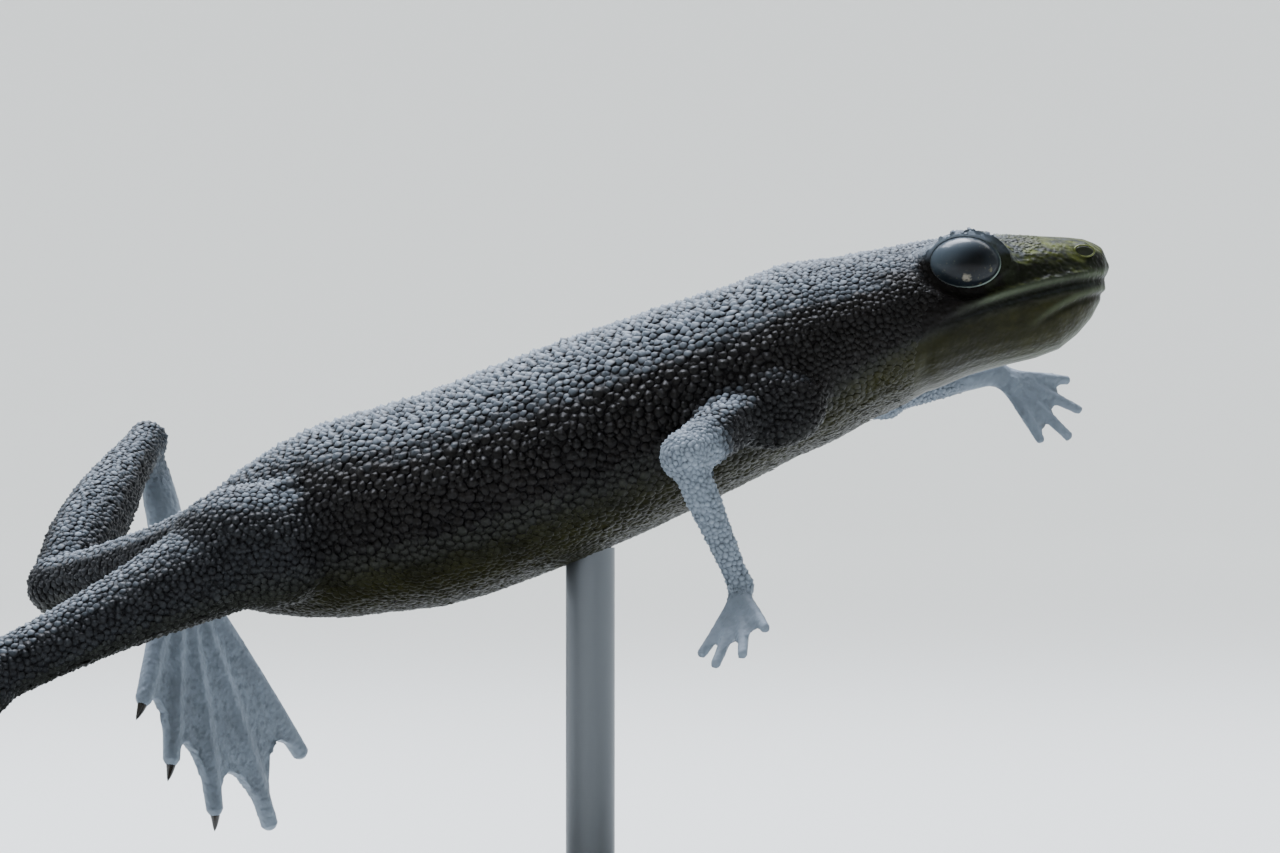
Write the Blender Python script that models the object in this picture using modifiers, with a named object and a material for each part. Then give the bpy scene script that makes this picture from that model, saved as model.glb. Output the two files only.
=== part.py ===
"""African dwarf frog, life size, hanging nose-up in mid water on a plain display stand.

All the modelling is done in millimetres in the frog's own frame, which starts at the tip of the
snout: +X runs forward, +Y to the animal's left and +Z up. At the end every mesh is scaled to
metres and set in the part's frame, whose origin is the middle of the underside of the base.
"""

import math

import bmesh
import bpy
from mathutils import Matrix, Quaternion, Vector
from mathutils.bvhtree import BVHTree

# Sizes of the whole, in millimetres
METRES = 0.001
GAP = 0.3
SNOUT_AHEAD_OF_BASE_CENTRE = 22.0
TOE_CLEARANCE = 1.2
LOWEST_TOE = -22.9
BASE_LENGTH = 46.0
BASE_WIDTH = 28.0
BASE_THICKNESS = 2.6
BASE_CORNER = 4.0
BASE_EDGE = 0.5
ROD_RADIUS = 0.9
ROD_BEHIND_SNOUT = 19.0
ROD_REACH = 20.0
ROD_SIDES = 16
ROD_FOOT_RADIUS = 2.4
ROD_FOOT_HEIGHT = 0.8
ROD_FOOT_SIDES = 24

# The body from snout to rump. Each row is one slice: its top and its belly (forward, up), its
# half width, how far down from top to belly it is widest, and how square its outline is.
SNOUT_TIP = (0.0, -0.1)
SLICES = (
    ((-0.26, 0.50), (-0.18, -1.05), 1.00, 0.50, 2.1),
    ((-0.95, 0.82), (-0.68, -2.12), 1.75, 0.50, 2.2),
    ((-2.30, 0.92), (-1.90, -3.26), 2.65, 0.48, 2.3),
    ((-4.20, 1.00), (-3.75, -3.80), 3.30, 0.48, 2.4),
    ((-6.00, 0.90), (-5.35, -4.25), 4.05, 0.49, 2.4),
    ((-9.00, 0.36), (-7.80, -5.40), 4.95, 0.50, 2.3),
    ((-12.0, -0.10), (-10.1, -6.60), 5.70, 0.50, 2.3),
    ((-13.6, -0.78), (-11.4, -7.15), 6.00, 0.50, 2.2),
    ((-16.9, -1.81), (-14.0, -8.50), 6.60, 0.52, 2.2),
    ((-21.2, -3.30), (-18.3, -10.5), 7.15, 0.54, 2.2),
    ((-25.6, -5.00), (-23.2, -12.35), 6.80, 0.55, 2.2),
    ((-28.3, -5.70), (-26.6, -12.95), 5.90, 0.54, 2.2),
    ((-30.6, -6.80), (-29.4, -13.05), 4.40, 0.52, 2.2),
    ((-32.6, -8.20), (-31.8, -12.7), 2.90, 0.50, 2.1),
    ((-33.9, -9.40), (-33.5, -12.0), 1.60, 0.50, 2.0),
)
RUMP_TIP = (-34.4, -10.6)
NECK_SLICE = 5.4
RUMP_SLICE = 10.8
BODY_SIDES = 28
RINGS_PER_SLICE = 2

# Mouth, from the snout back to its corner below the eye
MOUTH_START = -0.62
MOUTH_SLOPE = 0.12
MOUTH_SAG = 0.024
MOUTH_LENGTH = 5.6
JAW_BACK = 7.0
UPPER_LIP_RADIUS = 0.25
LOWER_LIP_RADIUS = 0.20
LIP_SUNK = 0.15
LIP_SIDES = 6
CUTTER_HALF_WIDTH = 8.0

# Eyes and nostrils
EYE_AT = (-5.22, 2.95, -0.08)
EYE_SIZE = (1.12, 0.95, 0.76)
EYE_MOUND_IN = 0.62
EYE_MOUND_SIZE = (1.66, 1.48, 1.10)
LID_AHEAD = 0.18
LID_SPAN = (1.42, 1.06)
LID_RADIUS = 0.16
NOSTRIL_BACK = 0.84
NOSTRIL_UP = 0.42
NOSTRIL_RING = 0.24
NOSTRIL_RIM = 0.11
NOSTRIL_DEPTH = 0.5

# Limbs: the joints that the path of each one runs through, right side first
LIMB_SIDES = 12
SHOULDER_R = (-12.2, -4.0, -4.7)
ELBOW_R = (-15.6, -9.0, -7.1)
WRIST_R = (-13.6, -8.6, -11.7)
SHOULDER_L = (-12.2, 4.0, -4.7)
ELBOW_L = (-8.0, 8.1, -4.9)
WRIST_L = (-3.8, 9.6, -4.0)
HIP_R = (-29.8, -2.7, -9.7)
KNEE_R = (-40.9, -6.6, -15.2)
ANKLE_R = (-44.4, -17.2, -13.2)
HIP_L = (-29.8, 2.7, -9.7)
KNEE_L = (-39.2, 11.0, -12.1)
ANKLE_L = (-36.5, 21.0, -6.6)

# Radius along each length of limb, from its root to its end
UPPER_ARM = (1.15, 1.08, 0.98, 0.90)
FOREARM = (0.70, 0.65, 0.52, 0.42)
THIGH = (2.65, 2.25, 1.72, 1.40, 1.32)
SHANK = (1.22, 1.42, 1.30, 0.98, 0.76)
THIGH_DEPTH = 0.85
CALF_BOW = (0, 0, 0.35)

# Hands and feet: spread from the inner digit to the outer one, in degrees and millimetres
FINGERS = ((-30.0, 2.1), (-10.0, 2.8), (10.0, 2.7), (30.0, 2.0))
PALM_LENGTH = 1.0
PALM_WIDTH = 1.2
FINGER_RADII = (0.28, 0.20)
FINGER_WEB = 0.30
FINGER_CURL = 0.10
TOES = ((-34.0, 5.2), (-18.0, 7.2), (-3.0, 9.2), (13.0, 10.6), (31.0, 9.2))
TARSUS_LENGTH = 5.6
TARSUS_WIDTH = 1.5
TOE_RADII = (0.42, 0.25)
TOE_WEB = 0.93
TOE_CURL = {"right": -0.05, "left": 0.05}
WEB_SCALLOP = 0.16
WEB_THICKNESS = 0.36
PALM_DEPTH = 0.62
ROOT_SPREAD = 0.36
DIGIT_SIDES = 8
CLAWED_TOES = 3
CLAW_LENGTH = 0.75
CLAW_RADIUS = 0.22
CLAW_SIDES = 6

# Which way each hand and foot points, and which way its outer digit lies
HAND_R = ((-0.08, -0.66, -0.75), (-0.80, 0.50, -0.36))
HAND_L = ((0.86, 0.10, -0.50), (0.30, 0.45, 0.80))
FOOT_R = ((-0.80, -0.26, -0.52), (0.30, -0.92, -0.10))
FOOT_L = ((0.22, 0.00, -0.97), (0.60, 0.78, 0.15))

SKIN_BACK = "4A4D50"
SKIN_LIMB = "55585B"
SKIN_JAW = "6E6F5C"
EYE_COLOUR = "14181C"
BASE_COLOUR = "2A2A2C"
ROD_COLOUR = "B8B9BB"


def linear(hex_colour):
    """sRGB hex to the linear colour that a shader takes."""
    values = []
    for start in (0, 2, 4):
        s = int(hex_colour[start : start + 2], 16) / 255
        values.append(s / 12.92 if s <= 0.04045 else ((s + 0.055) / 1.055) ** 2.4)
    return (*values, 1.0)


def material(name, hex_colour, roughness, metallic=0.0):
    made = bpy.data.materials.new(name)
    made.use_nodes = True
    shader = made.node_tree.nodes["Principled BSDF"]
    shader.inputs["Base Color"].default_value = linear(hex_colour)
    shader.inputs["Roughness"].default_value = roughness
    shader.inputs["Metallic"].default_value = metallic
    made.diffuse_color = linear(hex_colour)
    return made


def clear_scene():
    for obj in list(bpy.data.objects):
        bpy.data.objects.remove(obj)


def smooth_value(rows, at):
    """Catmull-Rom value at a fractional row number; each row is one number or a vector."""
    last = len(rows) - 1
    i = min(int(at), last - 1)
    f = at - i
    before = rows[max(i - 1, 0)]
    a = rows[i]
    b = rows[i + 1]
    after = rows[min(i + 2, last)]
    return 0.5 * (
        2 * a
        + (b - before) * f
        + (2 * before - 5 * a + 4 * b - after) * f**2
        + (3 * a - before - 3 * b + after) * f**3
    )


def add_object(name, bm, smooth=True):
    """A mesh object from a bmesh, with its faces turned outwards."""
    bmesh.ops.recalc_face_normals(bm, faces=bm.faces[:])
    mesh = bpy.data.meshes.new(name)
    bm.to_mesh(mesh)
    bm.free()
    if smooth:
        mesh.shade_smooth()
    obj = bpy.data.objects.new(name, mesh)
    bpy.context.scene.collection.objects.link(obj)
    return obj


def loft(name, rings, start_tip=None, end_tip=None):
    """A closed skin over rings of points, ending in a tip or in a flat face."""
    bm = bmesh.new()
    loops = [[bm.verts.new(p) for p in ring] for ring in rings]
    for one, other in zip(loops, loops[1:]):
        for k in range(len(one)):
            after = (k + 1) % len(one)
            bm.faces.new((one[k], one[after], other[after], other[k]))
    for loop, tip in ((loops[0], start_tip), (loops[-1], end_tip)):
        if tip is None:
            bm.faces.new(loop)
            continue
        point = bm.verts.new(tip)
        for k in range(len(loop)):
            bm.faces.new((loop[k], loop[(k + 1) % len(loop)], point))
    return add_object(name, bm)


def evaluated_mesh(obj):
    bpy.context.view_layer.update()
    graph = bpy.context.evaluated_depsgraph_get()
    return bpy.data.meshes.new_from_object(obj.evaluated_get(graph))


def apply_modifiers(obj):
    mesh = evaluated_mesh(obj)
    obj.modifiers.clear()
    old = obj.data
    obj.data = mesh
    bpy.data.meshes.remove(old)


def combine(obj, others, operation, solver="EXACT"):
    """Joins the other closed meshes to obj, or cuts them from it, and removes them."""
    group = bpy.data.collections.new("boolean_tools")
    bpy.context.scene.collection.children.link(group)
    for other in others:
        bpy.context.scene.collection.objects.unlink(other)
        group.objects.link(other)
    boolean = obj.modifiers.new("combine", "BOOLEAN")
    boolean.operation = operation
    boolean.solver = solver
    boolean.operand_type = "COLLECTION"
    boolean.collection = group
    apply_modifiers(obj)
    for other in others:
        bpy.data.objects.remove(other)
    bpy.data.collections.remove(group)


def loose_pieces(obj):
    """The closed surfaces of obj as objects, the largest first; obj itself is removed."""
    bm = bmesh.new()
    bm.from_mesh(obj.data)
    left = set(bm.faces)
    islands = []
    while left:
        front = [left.pop()]
        island = list(front)
        while front:
            face = front.pop()
            for edge in face.edges:
                for near in edge.link_faces:
                    if near in left:
                        left.remove(near)
                        front.append(near)
                        island.append(near)
        islands.append({f.index for f in island})
    pieces = []
    for island in islands:
        piece = bm.copy()
        piece.faces.ensure_lookup_table()
        drop = [f for f in piece.faces if f.index not in island]
        bmesh.ops.delete(piece, geom=drop, context="FACES")
        pieces.append((abs(piece.calc_volume()), piece))
    bm.free()
    bpy.data.objects.remove(obj)
    pieces.sort(key=lambda pair: -pair[0])
    return [add_object("piece", piece) for _, piece in pieces]


def keep_largest(obj):
    name = obj.name
    first, *rest = loose_pieces(obj)
    for scrap in rest:
        bpy.data.objects.remove(scrap)
    first.name = name
    return first


def swollen_copy(obj, by):
    """A copy of a closed mesh with its skin moved out, to cut a neighbour with a clear gap."""
    copy = bpy.data.objects.new(obj.name + "_swollen", obj.data.copy())
    bpy.context.scene.collection.objects.link(copy)
    grow = copy.modifiers.new("grow", "DISPLACE")
    grow.mid_level = 0.0
    grow.strength = by
    apply_modifiers(copy)
    return copy


def seat_on(obj, *swollen):
    """Cuts obj back from swollen copies of what it grows from, and keeps its main body."""
    combine(obj, swollen, "DIFFERENCE")
    return keep_largest(obj)


# Head, torso and rump


def in_plane(pair):
    return Vector((pair[0], 0.0, pair[1]))


def body_ring(at):
    """One slice of the body, from its rounded back down each flank to its belly."""
    top = smooth_value([in_plane(row[0]) for row in SLICES], at)
    belly = smooth_value([in_plane(row[1]) for row in SLICES], at)
    half_width = smooth_value([row[2] for row in SLICES], at)
    level = smooth_value([row[3] for row in SLICES], at)
    squareness = smooth_value([row[4] for row in SLICES], at)
    middle = top.lerp(belly, level)
    points = []
    for k in range(BODY_SIDES):
        angle = 2 * math.pi * k / BODY_SIDES
        across = math.copysign(abs(math.cos(angle)) ** (2 / squareness), math.cos(angle))
        rise = abs(math.sin(angle)) ** (2 / squareness)
        reach = top - middle if math.sin(angle) > 0 else belly - middle
        points.append(middle + reach * rise + Vector((0, half_width * across, 0)))
    return points


def body_middle(at):
    ring = body_ring(at)
    return sum(ring, Vector()) / len(ring)


def slice_after(at, distance):
    """The slice number that lies a distance further back along the body."""
    step = 0.01
    pace = (body_middle(at + step) - body_middle(at)).length / step
    return at + distance / pace


def body_length(name, start, end, start_tip=None, end_tip=None):
    count = max(2, round((end - start) * RINGS_PER_SLICE))
    rings = [body_ring(start + (end - start) * k / count) for k in range(count + 1)]
    return loft(name, rings, start_tip, end_tip)


def make_torso():
    start = slice_after(NECK_SLICE, GAP)
    return body_length("torso", start, RUMP_SLICE)


def make_rump():
    start = slice_after(RUMP_SLICE, GAP)
    return body_length("rump", start, len(SLICES) - 1, end_tip=in_plane(RUMP_TIP))


def mouth_height(back):
    return MOUTH_START - MOUTH_SLOPE * back - MOUTH_SAG * back**2


def skin_point(tree, start, direction):
    hit, normal, _, _ = tree.ray_cast(Vector(start), Vector(direction))
    return hit, normal


def tube(name, points, radii, sides, depth=1.0, tip_share=0.6):
    """A closed tube of round or oval rings on a smooth path, with rounded ends."""
    rings = []
    count = len(points)
    side = None
    tangents = []
    for k in range(count):
        ahead = points[min(k + 1, count - 1)]
        behind = points[max(k - 1, 0)]
        tangents.append((ahead - behind).normalized())
    for k in range(count):
        if side is None:
            side = tangents[0].orthogonal().normalized()
            if abs(tangents[0].z) < 0.9:
                side = tangents[0].cross(Vector((0, 0, 1))).normalized()
        side = (side - tangents[k] * side.dot(tangents[k])).normalized()
        up = tangents[k].cross(side)
        rings.append(ring_of(points[k], side, up, radii[k], depth, sides))
    start_tip = points[0] - tangents[0] * radii[0] * tip_share
    end_tip = points[-1] + tangents[-1] * radii[-1] * tip_share
    rings.insert(0, rounded_end(points[0], start_tip, rings[0]))
    rings.append(rounded_end(points[-1], end_tip, rings[-1]))
    return loft(name, rings, start_tip, end_tip)


def ring_of(middle, side, up, radius, depth, sides):
    points = []
    for k in range(sides):
        angle = 2 * math.pi * k / sides
        points.append(middle + side * radius * math.cos(angle) + up * radius * depth * math.sin(angle))
    return points


def rounded_end(middle, tip, ring):
    """The ring halfway round a domed end."""
    shrink = 0.72
    forward = 0.68
    return [middle.lerp(tip, forward) + (p - middle) * shrink for p in ring]


def lip(name, tree, radius, rise):
    """A lip along the mouth line, from one corner of the mouth round the snout to the other."""
    half = []
    steps = 9
    for k in range(steps):
        back = MOUTH_LENGTH * (1 - (k / steps) ** 1.15)
        height = mouth_height(back) + rise
        hit, normal = skin_point(tree, (-back, 12, height), (0, -1, 0))
        half.append(hit - normal * LIP_SUNK)
    front, normal = skin_point(tree, (8, 0, MOUTH_START + rise), (-1, 0, 0))
    middle = front - normal * LIP_SUNK
    mirrored = [Vector((p.x, -p.y, p.z)) for p in half]
    path = half + [middle] + mirrored[::-1]
    taper = [0.55, 0.8] + [1.0] * (len(path) - 4) + [0.8, 0.55]
    return tube(name, path, [radius * share for share in taper], LIP_SIDES)


def mouth_cutter():
    """A thin sheet through the mouth line, then down behind the jaw, that parts jaw from head."""
    line = [Vector((2.0, 0, MOUTH_START + 0.1))]
    steps = 8
    for k in range(steps + 1):
        back = MOUTH_LENGTH * k / steps
        line.append(Vector((-back, 0, mouth_height(back))))
    corner = line[-1]
    line.append(Vector((-JAW_BACK + 0.25, 0, corner.z - 0.75)))
    line.append(Vector((-JAW_BACK, 0, corner.z - 2.0)))
    line.append(Vector((-JAW_BACK + 0.5, 0, corner.z - 6.0)))
    rings = []
    across = Vector((0, CUTTER_HALF_WIDTH, 0))
    for k, point in enumerate(line):
        ahead = line[min(k + 1, len(line) - 1)]
        behind = line[max(k - 1, 0)]
        along = (ahead - behind).normalized()
        normal = Vector((-along.z, 0, along.x)) * GAP / 2
        above = point + normal
        below = point - normal
        rings.append([above + across, above - across, below - across, below + across])
    return loft("mouth_cutter", rings)


def ellipsoid(name, middle, size, segments=20, rings=12):
    bm = bmesh.new()
    bmesh.ops.create_uvsphere(bm, u_segments=segments, v_segments=rings, radius=1.0)
    turn = Matrix.Rotation(math.radians(90), 4, "X")
    stretch = Matrix.Diagonal((*size, 1.0))
    bmesh.ops.transform(bm, matrix=Matrix.Translation(middle) @ stretch @ turn, verts=bm.verts)
    return add_object(name, bm)


def both_sides(point):
    """A point on the animal's right, and its mirror on the left."""
    x, y, z = point
    return {"right": Vector((x, -abs(y), z)), "left": Vector((x, abs(y), z))}


def torus(name, middle, axis, major, minor, stretch=(1.0, 1.0), segments=16, sides=8):
    """A ring about an axis, round or stretched to an oval along its own x and y."""
    turn = axis.to_track_quat("Z", "Y")
    rings = []
    for k in range(segments):
        angle = 2 * math.pi * k / segments
        spoke = Vector((math.cos(angle) * stretch[0], math.sin(angle) * stretch[1], 0))
        centre = spoke * major
        out = spoke.normalized()
        points = []
        for s in range(sides):
            turned = 2 * math.pi * s / sides
            offset = out * math.cos(turned) + Vector((0, 0, math.sin(turned)))
            points.append(middle + turn @ (centre + offset * minor))
        rings.append(points)
    bm = bmesh.new()
    loops = [[bm.verts.new(p) for p in ring] for ring in rings]
    for k, one in enumerate(loops):
        other = loops[(k + 1) % segments]
        for s in range(sides):
            after = (s + 1) % sides
            bm.faces.new((one[s], one[after], other[after], other[s]))
    return add_object(name, bm)


def peg(name, middle, axis, radius, length, sides=12):
    """A plain round cutter centred on a point, with its length along an axis."""
    bm = bmesh.new()
    bmesh.ops.create_cone(
        bm, cap_ends=True, segments=sides, radius1=radius, radius2=radius, depth=length
    )
    turn = axis.to_track_quat("Z", "X").to_matrix().to_4x4()
    bmesh.ops.transform(bm, matrix=Matrix.Translation(middle) @ turn, verts=bm.verts)
    return add_object(name, bm)


def make_head():
    """The head with its eye mounds, lids, lips and nostrils, parted from the lower jaw."""
    head = body_length("head", 0, NECK_SLICE, start_tip=in_plane(SNOUT_TIP))
    tree = BVHTree.FromObject(head, bpy.context.evaluated_depsgraph_get())
    joined = [
        lip("upper_lip", tree, UPPER_LIP_RADIUS, UPPER_LIP_RADIUS + GAP / 2 - 0.05),
        lip("lower_lip", tree, LOWER_LIP_RADIUS, -LOWER_LIP_RADIUS - GAP / 2 + 0.05),
    ]
    cutters = [mouth_cutter()]
    eyes = {}
    for side, centre in both_sides(EYE_AT).items():
        out = math.copysign(1.0, centre.y)
        mound = centre - Vector((0, EYE_MOUND_IN * out, 0))
        joined.append(ellipsoid("mound", mound, EYE_MOUND_SIZE))
        brim = centre + Vector((0, LID_AHEAD * out, 0))
        facing = Vector((0, out, 0))
        joined.append(torus("lids", brim, facing, 1.0, LID_RADIUS, LID_SPAN, 20, 8))
        eyes[side] = ellipsoid("eye_" + side, centre, EYE_SIZE)
        cutters.append(ellipsoid("socket", centre, [r + GAP for r in EYE_SIZE]))
        start = (-NOSTRIL_BACK, 4 * out, NOSTRIL_UP)
        hit, normal = skin_point(tree, start, (0, -out, 0))
        joined.append(torus("rim", hit, normal, NOSTRIL_RING, NOSTRIL_RIM, segments=12, sides=6))
        cutters.append(peg("pit", hit, normal, NOSTRIL_RING - NOSTRIL_RIM * 0.6, NOSTRIL_DEPTH * 2))
    combine(head, joined, "UNION")
    combine(head, cutters, "DIFFERENCE")
    skull, jaw, *scraps = loose_pieces(head)
    for scrap in scraps:
        bpy.data.objects.remove(scrap)
    skull.name = "head"
    jaw.name = "lower_jaw"
    return {"head": skull, "lower_jaw": jaw, "eye_right": eyes["right"], "eye_left": eyes["left"]}


# Limbs


def limb_length(name, start, end, radii, bow=(0, 0, 0), depth=1.0):
    """One length of a limb, from joint to joint, bowed a little off the straight line."""
    start = Vector(start)
    end = Vector(end)
    steps = 8
    points = []
    widths = []
    for k in range(steps + 1):
        f = k / steps
        points.append(start.lerp(end, f) + Vector(bow) * 4 * f * (1 - f))
        widths.append(smooth_value(radii, f * (len(radii) - 1)))
    return tube(name, points, widths, LIMB_SIDES, depth)


def plane_of(direction, outer):
    """Forward, outward and upright unit vectors of a hand or foot."""
    forward = Vector(direction).normalized()
    outward = Vector(outer)
    outward = (outward - forward * outward.dot(forward)).normalized()
    return forward, outward, forward.cross(outward)


def digit_direction(forward, outward, degrees):
    return Quaternion(forward.cross(outward), math.radians(degrees)) @ forward


def spread_hand(name, start, pointing, digits, size, web, claws, curl):
    """A hand or foot: a flat palm, tapered digits, the web between them, and any claws."""
    palm, palm_width, radii = size
    forward, outward, normal = plane_of(*pointing)
    start = Vector(start)
    knuckle = start + forward * palm
    last = len(digits) - 1

    def root(number):
        return knuckle + outward * palm_width * ROOT_SPREAD * (2 * number / last - 1)

    def along(number, share):
        """A point on a digit, or between two, at a share of its length."""
        low = min(int(number), last - 1)
        f = number - low
        degrees = digits[low][0] * (1 - f) + digits[low + 1][0] * f
        length = digits[low][1] * (1 - f) + digits[low + 1][1] * f
        length *= 1 - WEB_SCALLOP * 4 * f * (1 - f)
        way = digit_direction(forward, outward, degrees)
        drop = normal * curl * (share * length) ** 2 / digits[-2][1]
        return root(number) + way * share * length - drop

    joined = []
    for number in range(len(digits)):
        steps = 5
        points = [along(number, -0.08 + 1.08 * k / steps) for k in range(steps + 1)]
        widths = [radii[0] + (radii[1] - radii[0]) * k / steps for k in range(steps + 1)]
        joined.append(tube("digit", points, widths, DIGIT_SIDES))
        if number < claws:
            tip = points[-1]
            way = (points[-1] - points[-2]).normalized()
            hook = [tip - way * 0.1, tip + way * CLAW_LENGTH * 0.5 - normal * 0.05]
            hook.append(tip + way * CLAW_LENGTH - normal * 0.2)
            thin = [CLAW_RADIUS, CLAW_RADIUS * 0.8, CLAW_RADIUS * 0.25]
            joined.append(tube("claw", hook, thin, CLAW_SIDES))
    joined.append(web_sheet(along, last, web))
    widths = [palm_width * 0.44, palm_width * 0.46, palm_width * 0.54, palm_width * 0.42]
    path = [start.lerp(knuckle, f) for f in (0.0, 0.35, 0.8, 1.06)]
    hand = flat_tube(name, path, widths, outward, PALM_DEPTH)
    combine(hand, joined, "UNION")
    return keep_largest(hand)


def flat_tube(name, points, radii, outward, depth):
    """A tube whose rings are wide along one direction and shallow across it."""
    rings = []
    along = (points[-1] - points[0]).normalized()
    up = along.cross(outward)
    for point, radius in zip(points, radii):
        rings.append(ring_of(point, outward, up, radius, depth, LIMB_SIDES))
    start_tip = points[0] - along * radii[0] * 0.5
    end_tip = points[-1] + along * radii[-1] * 0.5
    rings.insert(0, rounded_end(points[0], start_tip, rings[0]))
    rings.append(rounded_end(points[-1], end_tip, rings[-1]))
    return loft(name, rings, start_tip, end_tip)


def web_sheet(along, last, reach):
    """The web as one sheet through all the digits, given its thickness by Solidify."""
    bm = bmesh.new()
    across = last * 3
    rows = 5
    grid = []
    for k in range(rows + 1):
        share = reach * k / rows
        grid.append([bm.verts.new(along(c / 3, share)) for c in range(across + 1)])
    for one, other in zip(grid, grid[1:]):
        for c in range(across):
            bm.faces.new((one[c], one[c + 1], other[c + 1], other[c]))
    bmesh.ops.triangulate(bm, faces=bm.faces[:])
    sheet = add_object("web", bm)
    thicken = sheet.modifiers.new("thicken", "SOLIDIFY")
    thicken.thickness = WEB_THICKNESS
    thicken.offset = 0.0
    apply_modifiers(sheet)
    return sheet


def swollen_limb(start, end, radii, **shape):
    """The cutter that clears the next length of limb from this one."""
    return limb_length("swollen", start, end, [r + GAP for r in radii], **shape)


def make_arm(side, shoulder, elbow, wrist, pointing, trunk):
    upper = limb_length("upper_arm_" + side, shoulder, elbow, UPPER_ARM)
    upper = seat_on(upper, swollen_copy(trunk, GAP))
    fore = limb_length("forearm_" + side, elbow, wrist, FOREARM)
    fore = seat_on(fore, swollen_limb(shoulder, elbow, UPPER_ARM))
    size = (PALM_LENGTH, PALM_WIDTH, FINGER_RADII)
    hand = spread_hand("hand_" + side, wrist, pointing, FINGERS, size, FINGER_WEB, 0, FINGER_CURL)
    hand = seat_on(hand, swollen_limb(elbow, wrist, FOREARM))
    return [upper, fore, hand]


def make_leg(side, hip, knee, ankle, pointing, trunk):
    thigh = limb_length("thigh_" + side, hip, knee, THIGH, depth=THIGH_DEPTH)
    thigh = seat_on(thigh, *[swollen_copy(near, GAP) for near in trunk])
    shank = limb_length("shank_" + side, knee, ankle, SHANK, bow=CALF_BOW)
    shank = seat_on(shank, swollen_limb(hip, knee, THIGH, depth=THIGH_DEPTH))
    size = (TARSUS_LENGTH, TARSUS_WIDTH, TOE_RADII)
    foot = spread_hand("foot_" + side, ankle, pointing, TOES, size, TOE_WEB, CLAWED_TOES, TOE_CURL[side])
    foot = seat_on(foot, swollen_limb(knee, ankle, SHANK, bow=CALF_BOW))
    return [thigh, shank, foot]


# Display stand


def make_base():
    """A flat slab with rounded corners and a small bevel round its rim."""
    bm = bmesh.new()
    bmesh.ops.create_cube(bm, size=1.0)
    size = Matrix.Diagonal((BASE_LENGTH, BASE_WIDTH, BASE_THICKNESS, 1.0))
    middle = Vector((-SNOUT_AHEAD_OF_BASE_CENTRE, 0, base_top() - BASE_THICKNESS / 2))
    bmesh.ops.transform(bm, matrix=Matrix.Translation(middle) @ size, verts=bm.verts)
    upright = [e for e in bm.edges if abs(e.verts[0].co.z - e.verts[1].co.z) > 1]
    bmesh.ops.bevel(bm, geom=upright, offset=BASE_CORNER, segments=6, profile=0.5, affect="EDGES")
    top = middle.z + BASE_THICKNESS / 2
    rim = [e for e in bm.edges if all(abs(v.co.z - top) < 0.01 for v in e.verts)]
    bmesh.ops.bevel(bm, geom=rim, offset=BASE_EDGE, segments=2, profile=0.5, affect="EDGES")
    return add_object("stand_base", bm, smooth=False)


def base_top():
    return LOWEST_TOE - TOE_CLEARANCE


def make_rod(trunk):
    """A straight rod on a round foot, its head shaped to the belly it carries."""
    foot = Vector((-ROD_BEHIND_SNOUT, 0, base_top() + GAP))
    up = Vector((0, 0, 1))
    rod = peg("stand_rod", foot + up * ROD_REACH / 2, up, ROD_RADIUS, ROD_REACH, ROD_SIDES)
    middle = foot + up * ROD_FOOT_HEIGHT / 2
    disc = peg("disc", middle, up, ROD_FOOT_RADIUS, ROD_FOOT_HEIGHT, ROD_FOOT_SIDES)
    combine(rod, [disc], "UNION")
    return seat_on(rod, swollen_copy(trunk, GAP))


# Assembly


def place(obj, pivot, kind, parent):
    """Scales a finished mesh to metres and sets it in the part's frame, on its own pivot."""
    pivot = Vector(pivot)
    shift = Vector((SNOUT_AHEAD_OF_BASE_CENTRE, 0, BASE_THICKNESS - base_top()))
    obj.data.transform(Matrix.Scale(METRES, 4) @ Matrix.Translation(-pivot))
    obj.location = (pivot + shift) * METRES
    obj.data.materials.clear()
    obj.data.materials.append(kind)
    obj.parent = parent


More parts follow.
